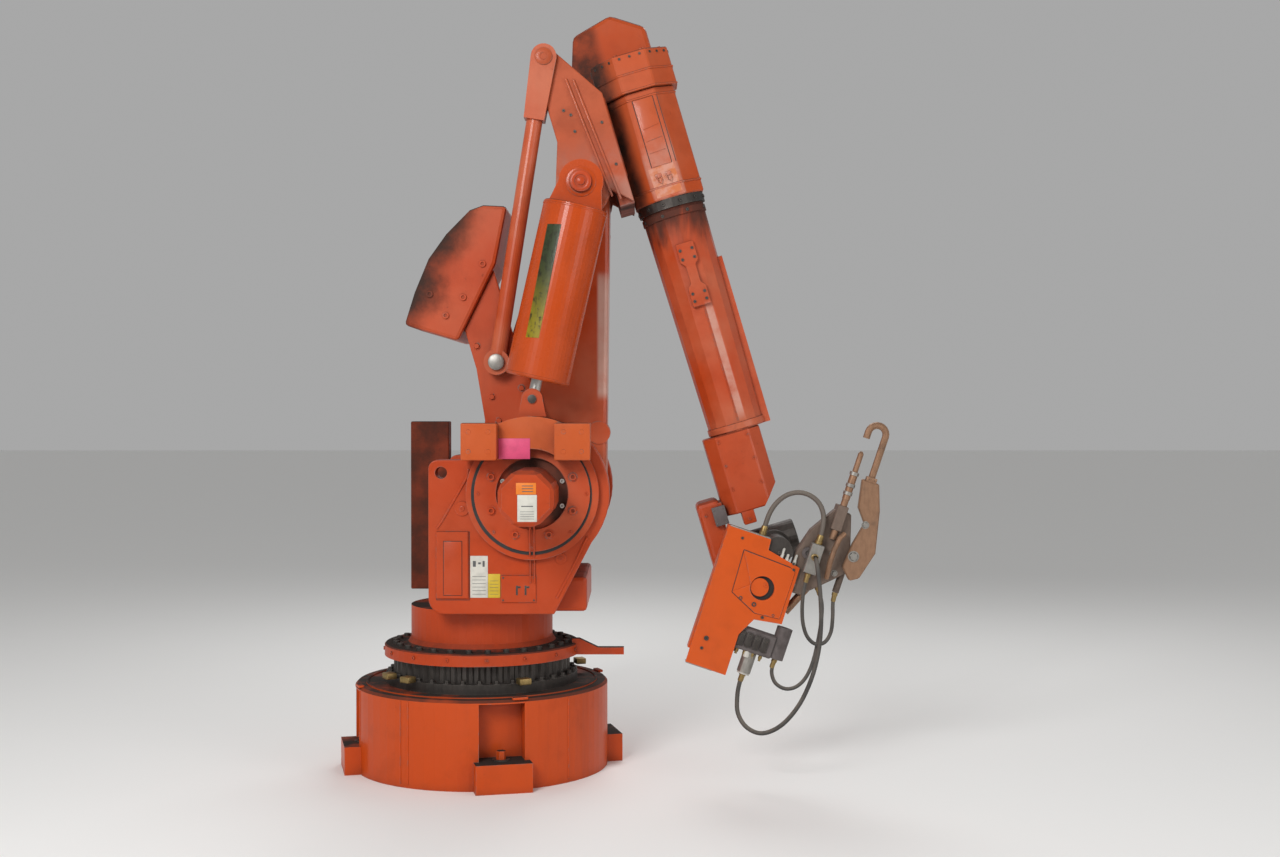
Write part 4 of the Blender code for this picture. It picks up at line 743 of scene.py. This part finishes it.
def film(name, finish, low, high, face, lines=()):
    """A thin printed film between two corners (x, z) on a near face, with ruled lines."""
    y = -face - FILM_GAP
    Shape(name, "turret", finish).box(
        (low[0], y - FILM_THICKNESS, low[1]), (high[0], y, high[1]), 0.0003).ride()
    if lines:
        with Shape(name + "_lines", "turret", GREY_INK) as ink:
            wide, tall = high[0] - low[0], high[1] - low[1]
            for left, right, share, thick in lines:
                z = low[1] + tall * share
                ink.box((low[0] + wide * left, y - 0.001, z),
                        (low[0] + wide * right, y - 0.0004, z + thick))


film("cheek_label_white", WHITE_FILM, (-0.007, 0.5835), (0.048, 0.7145), CHEEK_FACE,
     [(0.12, 0.88, 0.08 + 0.085 * i, 0.0012) for i in range(6)]
     + [(0.15, 0.32, 0.74, 0.018), (0.45, 0.6, 0.8, 0.006), (0.7, 0.82, 0.74, 0.018)])
film("cheek_label_yellow", YELLOW_FILM, (0.0485, 0.5835), (0.0865, 0.658), CHEEK_FACE,
     [(0.15, 0.85, 0.14 + 0.14 * i, 0.0011) for i in range(5)])
film("motor_label_white", WHITE_FILM, (0.164, 0.8425), (0.2215, 0.9215), MOTOR_END,
     [(0.15, 0.85, 0.1 + 0.09 * i, 0.0011) for i in range(4)] + [(0.2, 0.8, 0.56, 0.0028)])
film("motor_label_orange", ORANGE_FILM, (0.16, 0.9225), (0.219, 0.957), MOTOR_END,
     [(0.3, 0.85, 0.22 + 0.24 * i, 0.0024) for i in range(3)])
film("beam_label", PINK_FILM, (0.0875, 1.019), (0.1848, 1.0825), BEAM_FACE)
print("labels done")

# %% [markdown]
# ## Ribs, panel and wires of the cheeks
# The cheek is a casting: it has raised round bosses for tapped holes and a low rib that runs up
# to the lifting ear. The near one has a raised panel with painted shade in near-black lines round
# its edges, and two painted wires that run from the motor to a small box.

# %% Cheek details
for name, side in SIDES.items():
    out = (0, side, 0)
    face = side * CHEEK_FACE
    with Shape(name + "_cheek_rib", "turret", CASTING) as rib:
        rib.tube([(-0.012, face, 0.985), (-0.016, face, 0.96), (-0.098, face, 0.818),
                (-0.112, face, 0.8)], 0.0042, 8)
        rib.tube([(0.357, face, 0.772), (0.31, face, 0.672), (0.2635, face, 0.583)], 0.0042, 8)
    with Shape(name + "_cheek_bosses", "turret", CASTING) as bosses:
        for x, z, radius in ((-0.032, 0.862, 0.0235), (0.276, 0.706, 0.018)):
            bosses.disc((x, face, z), out, [(radius, 0), (radius, 0.002), (radius - 0.002, 0.0035)], 32)
            bosses.screw((x, face + side * 0.003, z), out, radius * 0.34, 0.003)
Shape("near_inner_panel", "turret", CASTING).box(
    (-0.089, -0.319, 0.592), (-0.033, -0.3155, 0.76), 0.0012).ride()
# Near-black lines round the panel's edges are painted shade in its steps.
with Shape("near_panel_shade_lines", "turret", SHADE_BLACK) as shade_lines:
    for left, low, right, high, y in ((-0.1125, 0.5765, -0.0095, 0.7895, -0.3104),
            (-0.0898, 0.5912, -0.0322, 0.7608, -0.3162)):
        corners = [(left, y, low), (right, y, low), (right, y, high), (left, y, high)]
        for start, end in zip(corners, corners[1:] + corners[:1]):
            shade_lines.tube([start, end], 0.0009, 6)
with Shape("near_motor_wires", "turret", CASTING) as wires:
    for x, drop in ((0.181, 0.0), (0.194, 0.004)):
        wires.tube([(x, -0.352, 0.832), (x + 0.001, -0.346, 0.812), (x, -0.3432, 0.78),
                (x + 0.001, -0.3432, 0.738), (x, -0.34, 0.724), (x, -0.3225, 0.706 - drop),
                (x, -0.313, 0.692), (x, -0.3132, 0.664), (x, -0.3175, 0.652),
                (x, -0.3185, 0.63)], 0.0026, 8)
with Shape("near_box_slots", "turret", DARK_STEEL, slot="") as marks:
    for x in (0.136, 0.163):
        marks.box((x, -0.3168, 0.592), (x + 0.006, -0.3155, 0.622), 0.0005)
        marks.box((x + 0.005, -0.3168, 0.614), (x + 0.015, -0.3155, 0.62), 0.0004)
    for x in (0.096, 0.192):
        for z in (0.576, 0.646):
            marks.disc((x, -0.316, z), NEAR, [(0.0032, 0), (0.0026, 0.0016)], 12)
print("cheeks done")

# %% [markdown]
# ## Beams, brackets and the balancers' fittings
# The buffer beams are bolted on with screws through their end blocks, and each balancing
# cylinder hangs on the elbow pin, whose end shows a retaining ring and a grease cap.

# %% Beam and balancer details
END_BLOCK_FACE = 0.4306
ELBOW_PIN_END = 0.345
EAR_FACE = 0.331
PISTON_PIN_END = BALANCER_SIDE + 0.038
for name, side in SIDES.items():
    out = (0, side, 0)
    with Shape(name + "_beam_screws", "turret", BEAM_PAINT) as bolts:
        for x in (0.000, 0.06, 0.29, 0.345):
            for z in (1.043, 1.103):
                bolts.disc((x, side * END_BLOCK_FACE, z), out, [(0.0075, 0), (0.0068, 0.0012)], 18)
    pin_end = (ELBOW.x, side * ELBOW_PIN_END, ELBOW.z)
    with Shape(name + "_elbow_pin_cap", "elbow_pin", CASTING) as cap:
        cap.turned(pin_end, out, [(0.0195, 0), (0.0325, 0), (0.0325, 0.003), (0.03, 0.0042),
                (0.022, 0.0042), (0.0195, 0.003), (0.0195, 0)], 40)
        cap.disc(pin_end, out, [(0.0125, 0), (0.0125, 0.0042), (0.01, 0.0058)], 30)
    with Shape(name + "_ear_collar", name + "_balancer", CYLINDER, space=UPRIGHT) as collar:
        collar.turned((ELBOW.x, side * EAR_FACE, ELBOW.z), out, [
            (0.0348, 0), (0.0465, 0), (0.0465, 0.0022), (0.044, 0.0034), (0.0348, 0.0034), (0.0348, 0)], 48)
    with Shape(name + "_piston_pin_nuts", "turret", DARK_STEEL) as foot:
        foot.disc((SHOULDER.x, side * PISTON_PIN_END, BALANCER_PIN.z), out,
                [(0.0135, 0), (0.0135, 0.002), (0.006, 0.0032)])
    with Shape(name + "_cylinder_rims", name + "_balancer", CYLINDER) as rims:
        for z in (-0.0865, -0.6205):
            rims.turned((0, side * BALANCER_SIDE, z), UP, [
                (0.1005, -0.0035), (0.1022, -0.0015), (0.1022, 0.0015), (0.1005, 0.0035)], 64)
print("beams and balancers done")

# %% [markdown]
# The near cylinder carries a long faded strip that runs from green to yellow. It has to follow
# the round wall, so it is a grid bent to a radius half a millimetre larger than the cylinder's.

# %% Cylinder strip
STRIP_TOP = -0.153
STRIP_LOW = -0.507
STRIP_RADIUS = 0.1016
ROWS, COLUMNS = 24, 10
faded = Finish("strip_film", Metallic=0.0)
height = faded.past((0, -BALANCER_SIDE, STRIP_LOW), UP, BALANCER)
blotch = faded.noise(60.0, 5)
scratch = faded.noise(120.0, 3, 0.6, (1, 1, 0.15))
tint = faded.mix((height + blotch * 0.1).within(0.02, 0.3), (0.5, 0.4, 0.01), (0.06, 0.085, 0.03))
tint = faded.mix((blotch * 0.6 + scratch * 0.5).within(0.56, 0.68) * 0.85, tint, (0.035, 0.03, 0.012))
tint = faded.mix(scratch.within(0.7, 0.78) * 0.5, tint, (0.45, 0.18, 0.05))
STRIP = faded.surface(tint, 0.3 + blotch * 0.3, blotch, 0.0003, 0.3, Coat_Weight=(1 - blotch) * 0.3)
strip = Shape("balancer_strip", "near_balancer", STRIP)
grid = []
for row in range(ROWS + 1):
    down = row / ROWS
    left = radians(-42 + 8 * down)
    right = radians(-14 + 5 * down)
    z = STRIP_TOP + (STRIP_LOW - STRIP_TOP) * down
    grid.append([])
    for column in range(COLUMNS + 1):
        turn = left + (right - left) * column / COLUMNS
        grid[-1].append(strip.work.verts.new((
            STRIP_RADIUS * sin(turn), -BALANCER_SIDE - STRIP_RADIUS * cos(turn),
            z + 0.006 * (column / COLUMNS - 0.5))))
for upper, lower in zip(grid, grid[1:]):
    for k in range(COLUMNS):
        strip.work.faces.new([upper[k], upper[k + 1], lower[k + 1], lower[k]])
bmesh.ops.solidify(strip.work, geom=list(strip.work.faces), thickness=0.0004)
strip.settle(UPRIGHT, list(strip.work.verts)).ride()
print("strip of", ROWS * COLUMNS, "cells")

# %% [markdown]
# ## Base and slewing ring
# The slewing ring is screwed to the drum with a close ring of bolts, and a few yellowish stop
# blocks stand on it. The feet have their big floor bolts in pockets, and the drum's wall shows
# weld seams. `ring` gives all these places, so that a whole ring is one short loop.

# %% Base details
SLEWING_TOP = 0.3103
TABLE_TOP = 0.4057
FOOT_FLOOR = 0.0902
with Shape("slewing_ring_bolts", "base", DARK_STEEL) as bolts:
    for place, _ in ring(0.302, range(4, 364, 10), SLEWING_TOP):
        bolts.nut(place, UP, 0.0085, 0.011)
with Shape("turntable_bolts", "turret", DARK_STEEL) as bolts:
    for place, _ in ring(0.283, range(3, 363, 12), TABLE_TOP):
        bolts.screw(place, UP, 0.0105, 0.01)
with Shape("turntable_side_screws", "turret", TURNTABLE) as screws:
    for place, out in ring(0.3198, [22.5 * i + 8 for i in range(16)], 0.387):
        screws.screw(place, out, 0.006, 0.004)
with Shape("ring_stop_blocks", "base", BRASS) as blocks:
    for degrees in (-128, -62, 20, 75, 150, 215):
        blocks.space = Matrix.Rotation(radians(degrees), 4, "Z")
        blocks.box((0.322, -0.02, 0.3105), (0.356, 0.02, 0.33), 0.003)
with Shape("drum_lip", "base", DRUM) as lip:
    lip.turned((0, 0, 0), UP, [(0.3725, 0.279), (0.3725, 0.283), (0.3765, 0.2845),
            (0.3805, 0.283), (0.3805, 0.279)], 96)
with Shape("drum_tabs", "base", DRUM) as tabs:
    for degrees in range(-68, 292, 90):
        tabs.space = Matrix.Rotation(radians(degrees), 4, "Z")
        tabs.box((0.4, -0.024, 0.2775), (0.4185, 0.024, 0.286), 0.002)
with Shape("floor_bolt_washers", "base", DARK_STEEL, slot="") as washers:
    for place, _ in ring(0.39167, range(-76, 284, 90), FOOT_FLOOR):
        washers.turned(place, UP, [(0.0165, 0), (0.027, 0), (0.027, 0.004), (0.0165, 0.004),
                (0.0165, 0)], 32)
with Shape("drum_seams", "base", DRUM) as seams:
    for (x, y, low), _ in ring(0.4152, (-118, -44, 30, 62, 118, 152, 205, 238), 0.012):
        seams.tube([(x, y, low), (x, y, 0.268)], 0.0022, 8)
print("base done")

# %% [markdown]
# ## The elbow and the motor housing
# The lever that the tie rod pulls carries two thin rails for a cable tray, the housing's rim is
# screwed down along its back edge, and two small hooks sit near the housing's front end. A
# cover plate with three ridges lies on the housing's near side, with painted shade in near-black
# lines along its edges and the groove beside it.

# %% Lever details
LEVER_FACE = -0.202
RAIL_HALF = 0.0035
with Shape("lever_rails", "upper_arm", HOUSING) as rails:
    for x0, z0, x1, z1 in ((0.047, 0.345, 0.083, -0.055), (0.069, 0.335, 0.107, -0.07)):
        along = Vector((x1 - x0, 0, z1 - z0)).normalized()
        x, z = -along.z * RAIL_HALF, along.x * RAIL_HALF
        rails.flat([(x0 + x, z0 + z), (x0 - x, z0 - z), (x1 - x, z1 - z), (x1 + x, z1 + z)],
                LEVER_FACE - 0.009, LEVER_FACE + 0.001, 0.0015)
with Shape("lever_screws", "upper_arm", DARK_STEEL) as screws:
    for x, z in ((0.0275, 0.1765), (0.03, 0.23), (0.012, 0.25), (0.118, 0.18), (0.124, 0.04),
            (0.03, -0.03)):
        screws.screw((x, LEVER_FACE, z), NEAR, 0.0048, 0.003)
with Shape("lever_pin_cap", "upper_arm", HOUSING) as cap:
    cap.disc((0, -0.2182, CRANK_LENGTH), NEAR, [(0.0275, 0), (0.0275, 0.003), (0.025, 0.0045),
            (0.012, 0.0045), (0.01, 0.003)], 36)
print("lever done")

# %% Housing details
RIM_HALF = 0.13
HOUSING_HALF = 0.115
with Shape("rim_screws", "upper_arm", DARK_STEEL) as screws:
    for place, out in ring(RIM_HALF, range(0, 360, 45), 0.371, ELBOW_OFFSET):
        for step in (-0.034, 0.0, 0.034):
            screws.screw(Vector(place) + step * Vector((-out[1], out[0], 0)), out, 0.0042, 0.0026)
with Shape("rim_end_screws", "upper_arm", HOUSING) as screws:
    for place, _ in ring(0.112, EIGHTHS, 0.385, ELBOW_OFFSET):
        screws.screw(place, UP, 0.008, 0.007)
with Shape("housing_bands", "upper_arm", HOUSING) as bands:
    for z, half in ((0.318, RIM_HALF), (0.2625, RIM_HALF - 0.001), (-0.06, HOUSING_HALF),
            (0.236, HOUSING_HALF)):
        octagon = [place for place, _ in ring(half / cos(pi / 8), EIGHTHS, z, ELBOW_OFFSET)]
        bands.tube(octagon + octagon[:2], 0.0034, 8)
Shape("housing_cover_plate", "upper_arm", HOUSING).box(
    (0.234, -0.1186, 0.008), (0.3, -0.114, 0.231), 0.0012).ride()
# Near-black lines by the cover plate's edges are painted shade in its grooves.
with Shape("housing_cover_shade_lines", "upper_arm", SHADE_BLACK) as lines:
    for x, y in ((0.233, -0.1152), (0.3012, -0.1152), (0.315, -0.1118)):
        lines.tube([(x, y, 0.008), (x, y, 0.231)], 0.0013, 6)
with Shape("housing_cover_ridges", "upper_arm", HOUSING) as ridges:
    for i, z in enumerate((0.052, 0.094, 0.136)):
        ridges.tube([(0.24, -0.1186, z - 0.002 * i), (0.294, -0.1186, z + 0.003)], 0.0013, 6)
with Shape("housing_hooks", "upper_arm", HOUSING) as hooks:
    for x in (ELBOW_OFFSET - 0.018, ELBOW_OFFSET + 0.014):
        hooks.box((x - 0.01, -0.119, -0.03), (x + 0.01, -0.1148, -0.016), 0.001)
        hooks.tube([(x - 0.007, -0.117, -0.02), (x - 0.006, -0.124, -0.04), (x + 0.001, -0.126, -0.047),
                (x + 0.007, -0.124, -0.038), (x + 0.007, -0.117, -0.022)], 0.0022, 8)
print("elbow and housing done")

# %% [markdown]
# A pale bleached patch sits on the housing's near side, where cables have rubbed the paint away.

# %% Bleached patch
worn = Finish("bleached_patch", Metallic=0.0)
broad = worn.noise(30.0, 6)
fine = worn.noise(140.0, 3)
tint = worn.mix(broad.within(0.38, 0.62), (0.62, 0.28, 0.2), (0.58, 0.16, 0.05))
BLEACHED = worn.surface(tint, 0.55 + fine * 0.2, broad + fine * 0.5, 0.0006, 0.5)
outline = [(-0.045, 0.004), (0.04, 0.012), (0.044, -0.088), (-0.042, -0.092)]
Shape("housing_bleached_patch", "upper_arm", BLEACHED).flat(
    [(ELBOW_OFFSET + x, z) for x, z in outline], -0.1156, -0.1148).ride()

# %% [markdown]
# ## Forearm and wrist
# The forearm is a pipe between two rings. The upper one is screwed to the roll collar, two rows
# of screws hold the bracket on its near side, and the wrist's gearbox has its own covers.

# %% Forearm and wrist details
COLLAR_Z = -0.115
TUBE_TOP = -0.15
TUBE_END = -0.872
with Shape("roll_collar_bolts", "upper_arm", DARK_STEEL) as bolts:
    for place, out in ring(0.1105, range(15, 375, 30), COLLAR_Z, ELBOW_OFFSET):
        bolts.screw(place, out, 0.006, 0.005)
with Shape("forearm_bands", "forearm", FOREARM) as bands:
    for z, radius in ((TUBE_TOP, 0.1045), (TUBE_END, 0.0935)):
        bands.turned((ELBOW_OFFSET, 0, z), UP, [(radius - 0.004, -0.012), (radius + 0.003, -0.01),
                (radius + 0.003, 0.01), (radius - 0.004, 0.012)], 64)
with Shape("forearm_screws", "forearm", DARK_STEEL) as screws:
    for place, out in ring(0.107, EIGHTHS, TUBE_TOP, ELBOW_OFFSET):
        screws.screw(place, out, 0.0055, 0.004)
    for x in (ELBOW_OFFSET - 0.02, ELBOW_OFFSET + 0.02):
        for z in (-0.275, -0.305, -0.42, -0.445):
            screws.screw((x, -0.113, z), NEAR, 0.005, 0.003)
with Shape("forearm_groove", "forearm", FOREARM) as groove:
    for x, drop in ((0.269, 0.0), (0.2735, 0.0008)):
        groove.tube([(x, -0.0982 + drop, -0.472), (x, -0.0926 + drop, -0.856)], 0.001, 6)
with Shape("wrist_screws", "forearm", CASTING) as screws:
    for side in (-1, 1):
        out = (0, side, 0)
        for x in (ELBOW_OFFSET - 0.075, ELBOW_OFFSET + 0.022):
            for z in (-0.905, -0.985, -1.065):
                screws.screw((x, side * 0.095, z), out, 0.0062, 0.004)
        for x, z in ((0.083, -1.125), (0.115, -1.125), (0.083, -1.335), (0.115, -1.335)):
            screws.screw((x, side * 0.07, z), out, 0.0055, 0.004)
with Shape("wrist_cover_plate", "forearm", GREY_CAST) as plate:
    plate.box((0.106, -0.0925, -1.168), (0.1495, -0.068, -1.106), 0.0015)
    for x, z in ((0.113, -1.16), (0.141, -1.16), (0.113, -1.114), (0.141, -1.114)):
        plate.screw((x, -0.0925, z), NEAR, 0.0035, 0.002)
with Shape("wrist_lower_lug", "forearm", CASTING) as lug:
    lug.box((0.196, -0.0915, -1.189), (0.238, -0.03, -1.14), 0.004)
    lug.screw((0.217, -0.0915, -1.172), NEAR, 0.0055, 0.003)
print("forearm and wrist done")

# %% [markdown]
# ## Gun bracket
# The bracket is a newer part, so its paint is brighter and cleaner, with a bare silver edge on
# top. A round hole is cut through it: a near-black disc behind it paints the shade inside, with a
# painted disc in it, and a near-black line along the raised plate's border paints its shadow. The plate
# round the hole is one outline: it runs along its own border, through a slit to the hole, round
# the hole and back.

# %% Bracket details
FACE = -0.285
HOLE_BACK = -0.2726
HOLE_X, HOLE_Z = HOLE_AT = (-0.01106, -0.12594)
HOLE_RADIUS = 0.038
with Shape("bracket_screws", "tool", DARK_STEEL) as screws:
    for x, z, radius in ((0.004, -0.003, 0.0052), (0.058, -0.022, 0.0045), (0.064, -0.04, 0.0045),
            (-0.02, -0.182, 0.0075), (0.018, -0.213, 0.005), (-0.066, -0.176, 0.006),
            (-0.128, -0.33, 0.0075), (-0.132, -0.364, 0.005), (-0.12, 0.004, 0.0045),
            (0.048, -0.196, 0.0045)):
        screws.screw((x, FACE, z), NEAR, radius, radius * 0.6)
border = [(-0.104, -0.03), (0.052, -0.037), (0.07, -0.046), (0.0705, -0.2), (-0.01, -0.207),
        (-0.098, -0.166)]
rim = [(x, z) for x, _, z in around(HOLE_AT, HOLE_RADIUS + 0.0006, range(180, -181, -12), 0)]
plate = Shape("bracket_raised_plate", "tool", TOOL_PAINT)
plate.flat([border[0]] + rim + border[:0:-1] + [border[0]], FACE - 0.0022, FACE + 0.0005).ride(smooth=20)
# A near-black line along the raised plate's border is its painted shadow.
with Shape("bracket_shadow_line", "tool", SHADE_BLACK) as shadow_line:
    thicknesses = (0.0024, 0.0012, 0.0012, 0.0018, 0.0022, 0.0012)
    for (x0, z0), (x1, z1), thick in zip(border, border[1:] + border[:1], thicknesses):
        shadow_line.tube([(x0, FACE - 0.0002, z0), (x1, FACE - 0.0002, z1)], thick, 6)
with Shape("bracket_bare_edge", "tool", GREY_STEEL) as edge:
    edge.box((-0.168, FACE - 0.001, 0.0285), (-0.036, -0.236, 0.0315), 0.0008)
    edge.box((-0.166, FACE - 0.001, -0.4235), (-0.08, -0.236, -0.4205), 0.0008)
# A near-black disc behind the hole is painted shade inside it.
with Shape("bracket_hole_back", "tool", SHADE_BLACK) as back:
    back.disc((HOLE_X, HOLE_BACK, HOLE_Z), FAR, [(0.045, 0), (0.045, 0.004)], 40)
with Shape("bracket_hole_disc", "tool", TOOL_PAINT) as inner:
    inner.disc((HOLE_X - 0.0085, HOLE_BACK, HOLE_Z), NEAR,
            [(0.0292, 0), (0.0292, 0.0085), (0.028, 0.0095)], 40)
    inner.screw((HOLE_X + 0.008, -0.2821, HOLE_Z + 0.012), NEAR, 0.0065, 0.003)
print("bracket done")

# %% [markdown]
# ## The gun and its fittings
# Behind the bracket the gun is a brown copper and steel casting, full of small fittings: brass
# ferrules on the hoses, bolts, a pivot, a pipe, flexible copper leads and a row of valves. The
# electrode slides in a thin guide sleeve, which carries three pale collars.

# %% Gun details
GUN_FACE = -0.2727
ARM_FACE = -0.3
with Shape("hose_ferrules", "tool", BRASS, space=UPRIGHT) as ferrules:
    for place, along, diameter in hose_ends:
        radius = diameter / 2
        ferrules.turned(place, along, [
            (0, 0.0003), (radius * 1.55, 0.0003), (radius * 1.55, 0.01), (radius * 1.3, 0.011),
            (radius * 1.3, 0.026), (radius * 1.12, 0.03), (radius * 1.02, 0.03)], 20)
with Shape("gun_body_bolts", "tool", GREY_STEEL) as nuts:
    for x, z in ((0.075, -0.085), (0.12, -0.02), (0.19, -0.01), (0.165, 0.045), (0.11, 0.06)):
        nuts.nut((x, GUN_FACE, z), NEAR, 0.0075, 0.006)
with Shape("gun_pivot_bolt", "tool", GREY_STEEL) as pivot:
    pivot.nut((0.2262, ARM_FACE, 0.06), NEAR, 0.013, 0.01)
    pivot.nut((0.23, ARM_FACE, 0.165), NEAR, 0.009, 0.007)
Shape("gun_arm_pipe", "tool", COPPER).tube([
    (0.178, -0.2935, 0.118), (0.166, -0.306, 0.1), (0.161, -0.3105, 0.06), (0.161, -0.3105, 0.02),
    (0.165, -0.304, -0.01), (0.169, -0.286, -0.03)], 0.0085, 12).ride()
with Shape("gun_pale_fittings", "tool", PALE_PLASTIC) as fittings:
    for x, z, radius, rise in ((0.016, -0.0185, 0.0056, 0.034), (0.034, -0.0225, 0.0058, 0.024),
            (0.06, -0.028, 0.0056, 0.036)):
        fittings.disc((x, -0.279, z), UP, [
            (radius, 0), (radius, rise * 0.45), (radius * 0.75, rise * 0.5),
            (radius * 0.75, rise * 0.9), (radius * 0.5, rise)], 6)
with Shape("gun_pivot_dial", "tool", GREY_CAST) as dial:
    dial.disc((0.091, GUN_FACE, 0.024), NEAR, [
        (0.019, 0), (0.019, 0.008), (0.016, 0.011), (0.009, 0.011), (0.008, 0.007),
        (0.004, 0.007), (0.004, 0.012)], 36)
with Shape("gun_flexible_leads", "tool", COPPER, slot="") as leads:
    for x, y, low in ((0.083, -0.248, -0.175), (0.092, -0.232, -0.181), (0.078, -0.228, -0.187)):
        leads.tube([(x, y, low), (x + 0.018, y, -0.14), (x + 0.042, y, -0.085),
                (x + 0.05, y, -0.03), (x + 0.044, y, 0.02)], 0.0065)
with Shape("socket_plugs", "tool", PALE_PLASTIC) as plugs:
    for x, y, z, radius in ((0.0206, -0.2452, -0.405, 0.02), (-0.03, -0.24, -0.345, 0.014),
            (0.01, -0.262, -0.35, 0.01)):
        plugs.disc((x, y, z), UP, [(radius, 0), (radius, 0.014), (radius * 0.8, 0.018),
                (radius * 0.8, 0.04)], 20)
print("hose ends:", len(hose_ends))

# %% Valves and electrode
VALVES = range(5)
VALVE_PITCH = 0.026
with Shape("valve_details", "tool", DARK_STEEL) as valves:
    for x in [-0.06 + VALVE_PITCH * i for i in VALVES]:
        valves.box((x, -0.279, -0.318), (x + 0.02, -0.2722, -0.272), 0.0015)
        valves.turned((x + 0.01, -0.279, -0.283), NEAR,
                [(0, 0), (0.0045, 0), (0.0045, 0.004), (0, 0.005)], 14)
with Shape("valve_fittings", "tool", BRASS) as knobs:
    for x in [-0.05 + VALVE_PITCH * i for i in VALVES]:
        knobs.disc((x, -0.262, -0.3315), DOWN, [(0.0062, 0), (0.0062, 0.01), (0.0042, 0.012),
                (0.0042, 0.018)], 6)
with Shape("electrode_clamp", "tool", COPPER) as clamp:
    clamp.box((0.187, -0.3035, 0.296), (0.221, -0.271, 0.313), 0.003)
    for x in (0.196, 0.212):
        clamp.screw((x, -0.3035, 0.3045), NEAR, 0.004, 0.003)
SLEEVE_LENGTH = 0.09
ELECTRODE_X, ELECTRODE_Y = 0.148, -0.2865
with Shape("electrode_sleeve", "tool", COPPER) as sleeve:
    sleeve.turned((ELECTRODE_X, ELECTRODE_Y, 0.222), UP, [
        (0.0109, 0), (0.0123, 0), (0.0123, SLEEVE_LENGTH), (0.0109, SLEEVE_LENGTH), (0.0109, 0)], 28)
with Shape("electrode_collars", "tool", GREY_STEEL) as collars:
    for z in (0.236, 0.262, 0.3):
        collars.turned((ELECTRODE_X, ELECTRODE_Y, z), UP,
                [(0.012, 0), (0.015, 0.001), (0.015, 0.011), (0.012, 0.012)])
print("gun done")

# %% [markdown]
# ## The counterweight's and crank's fittings
# The counterweight is bolted to the crank from both sides with big socket screws, and the crank
# pin that drives the tie rod ends in a round cap.

# %% Counterweight details
WEIGHT_HALF = 0.18
CRANK_HALF = 0.153
with Shape("counterweight_screws", "crank", WEIGHT) as screws:
    for x, z in ((-0.115, 0.62), (-0.045, 0.66), (0.045, 0.745), (-0.145, 0.7)):
        screws.screw((x, -WEIGHT_HALF, z), NEAR, 0.011, 0.006)
        screws.screw((x, WEIGHT_HALF, z), FAR, 0.011, 0.006)
with Shape("crank_bolts", "crank", CASTING) as bolts:
    for x in (-0.05, 0.05):
        for z in (0.19, 0.25, 0.33, 0.5):
            bolts.nut((x, -CRANK_HALF, z), NEAR, 0.0095, 0.008)
with Shape("crank_pin_cap", "crank_pin", GREY_STEEL) as cap:
    cap.disc((CRANK_END.x, -0.2142, CRANK_END.z), NEAR,
            [(0.0255, 0), (0.0255, 0.004), (0.022, 0.006)], 36)
print("crank done")

# %% [markdown]
# ## Floor and light
# The floor is pale, flat and wide, so that every side can be looked at. One large soft lamp stands
# in front at the left, a weaker one at the right and one behind, and the world fills the shadows.

# %% Studio
FLOOR_HALF = 40.0
WORLD_LIGHT = 0.39
floor_mesh = bpy.data.meshes.new("studio_floor")
corners = [(x * FLOOR_HALF, y * FLOOR_HALF, 0.0) for x, y in ((-1, -1), (1, -1), (1, 1), (-1, 1))]
floor_mesh.from_pydata(corners, [], [(0, 1, 2, 3)])
ground = Finish("studio_floor", Metallic=0.0)
tint = ground.mix(ground.noise(3.0, 3) * 0.2, (0.88, 0.875, 0.86), (0.84, 0.835, 0.82))
floor_mesh.materials.append(ground.surface(tint, 0.8))
add_object("studio_floor", floor_mesh)


def lamp(name, place, target, size, power):
    """A square soft lamp that looks at a target."""
    data = bpy.data.lights.new(name, "AREA")
    data.shape = "SQUARE"
    data.size = size
    data.energy = power
    made = add_object(name, data)
    made.location = place
    made.rotation_mode = "QUATERNION"
    made.rotation_quaternion = (Vector(target) - Vector(place)).to_track_quat("-Z", "Y")


MIDDLE = (0.45, 0.0, 1.1)
lamp("key_lamp", (-1.6, -4.6, 3.4), MIDDLE, 1.8, 172)
lamp("fill_lamp", (4.2, -3.4, 2.2), MIDDLE, 2.4, 50)
lamp("back_lamp", (0.8, 3.0, 3.8), MIDDLE, 2.0, 62)
world = bpy.data.worlds.new("soft_room")
bpy.context.scene.world = world
world.use_nodes = True
background = world.node_tree.nodes["Background"]
background.inputs["Color"].default_value = (1.0, 1.0, 1.0, 1.0)
background.inputs["Strength"].default_value = WORLD_LIGHT
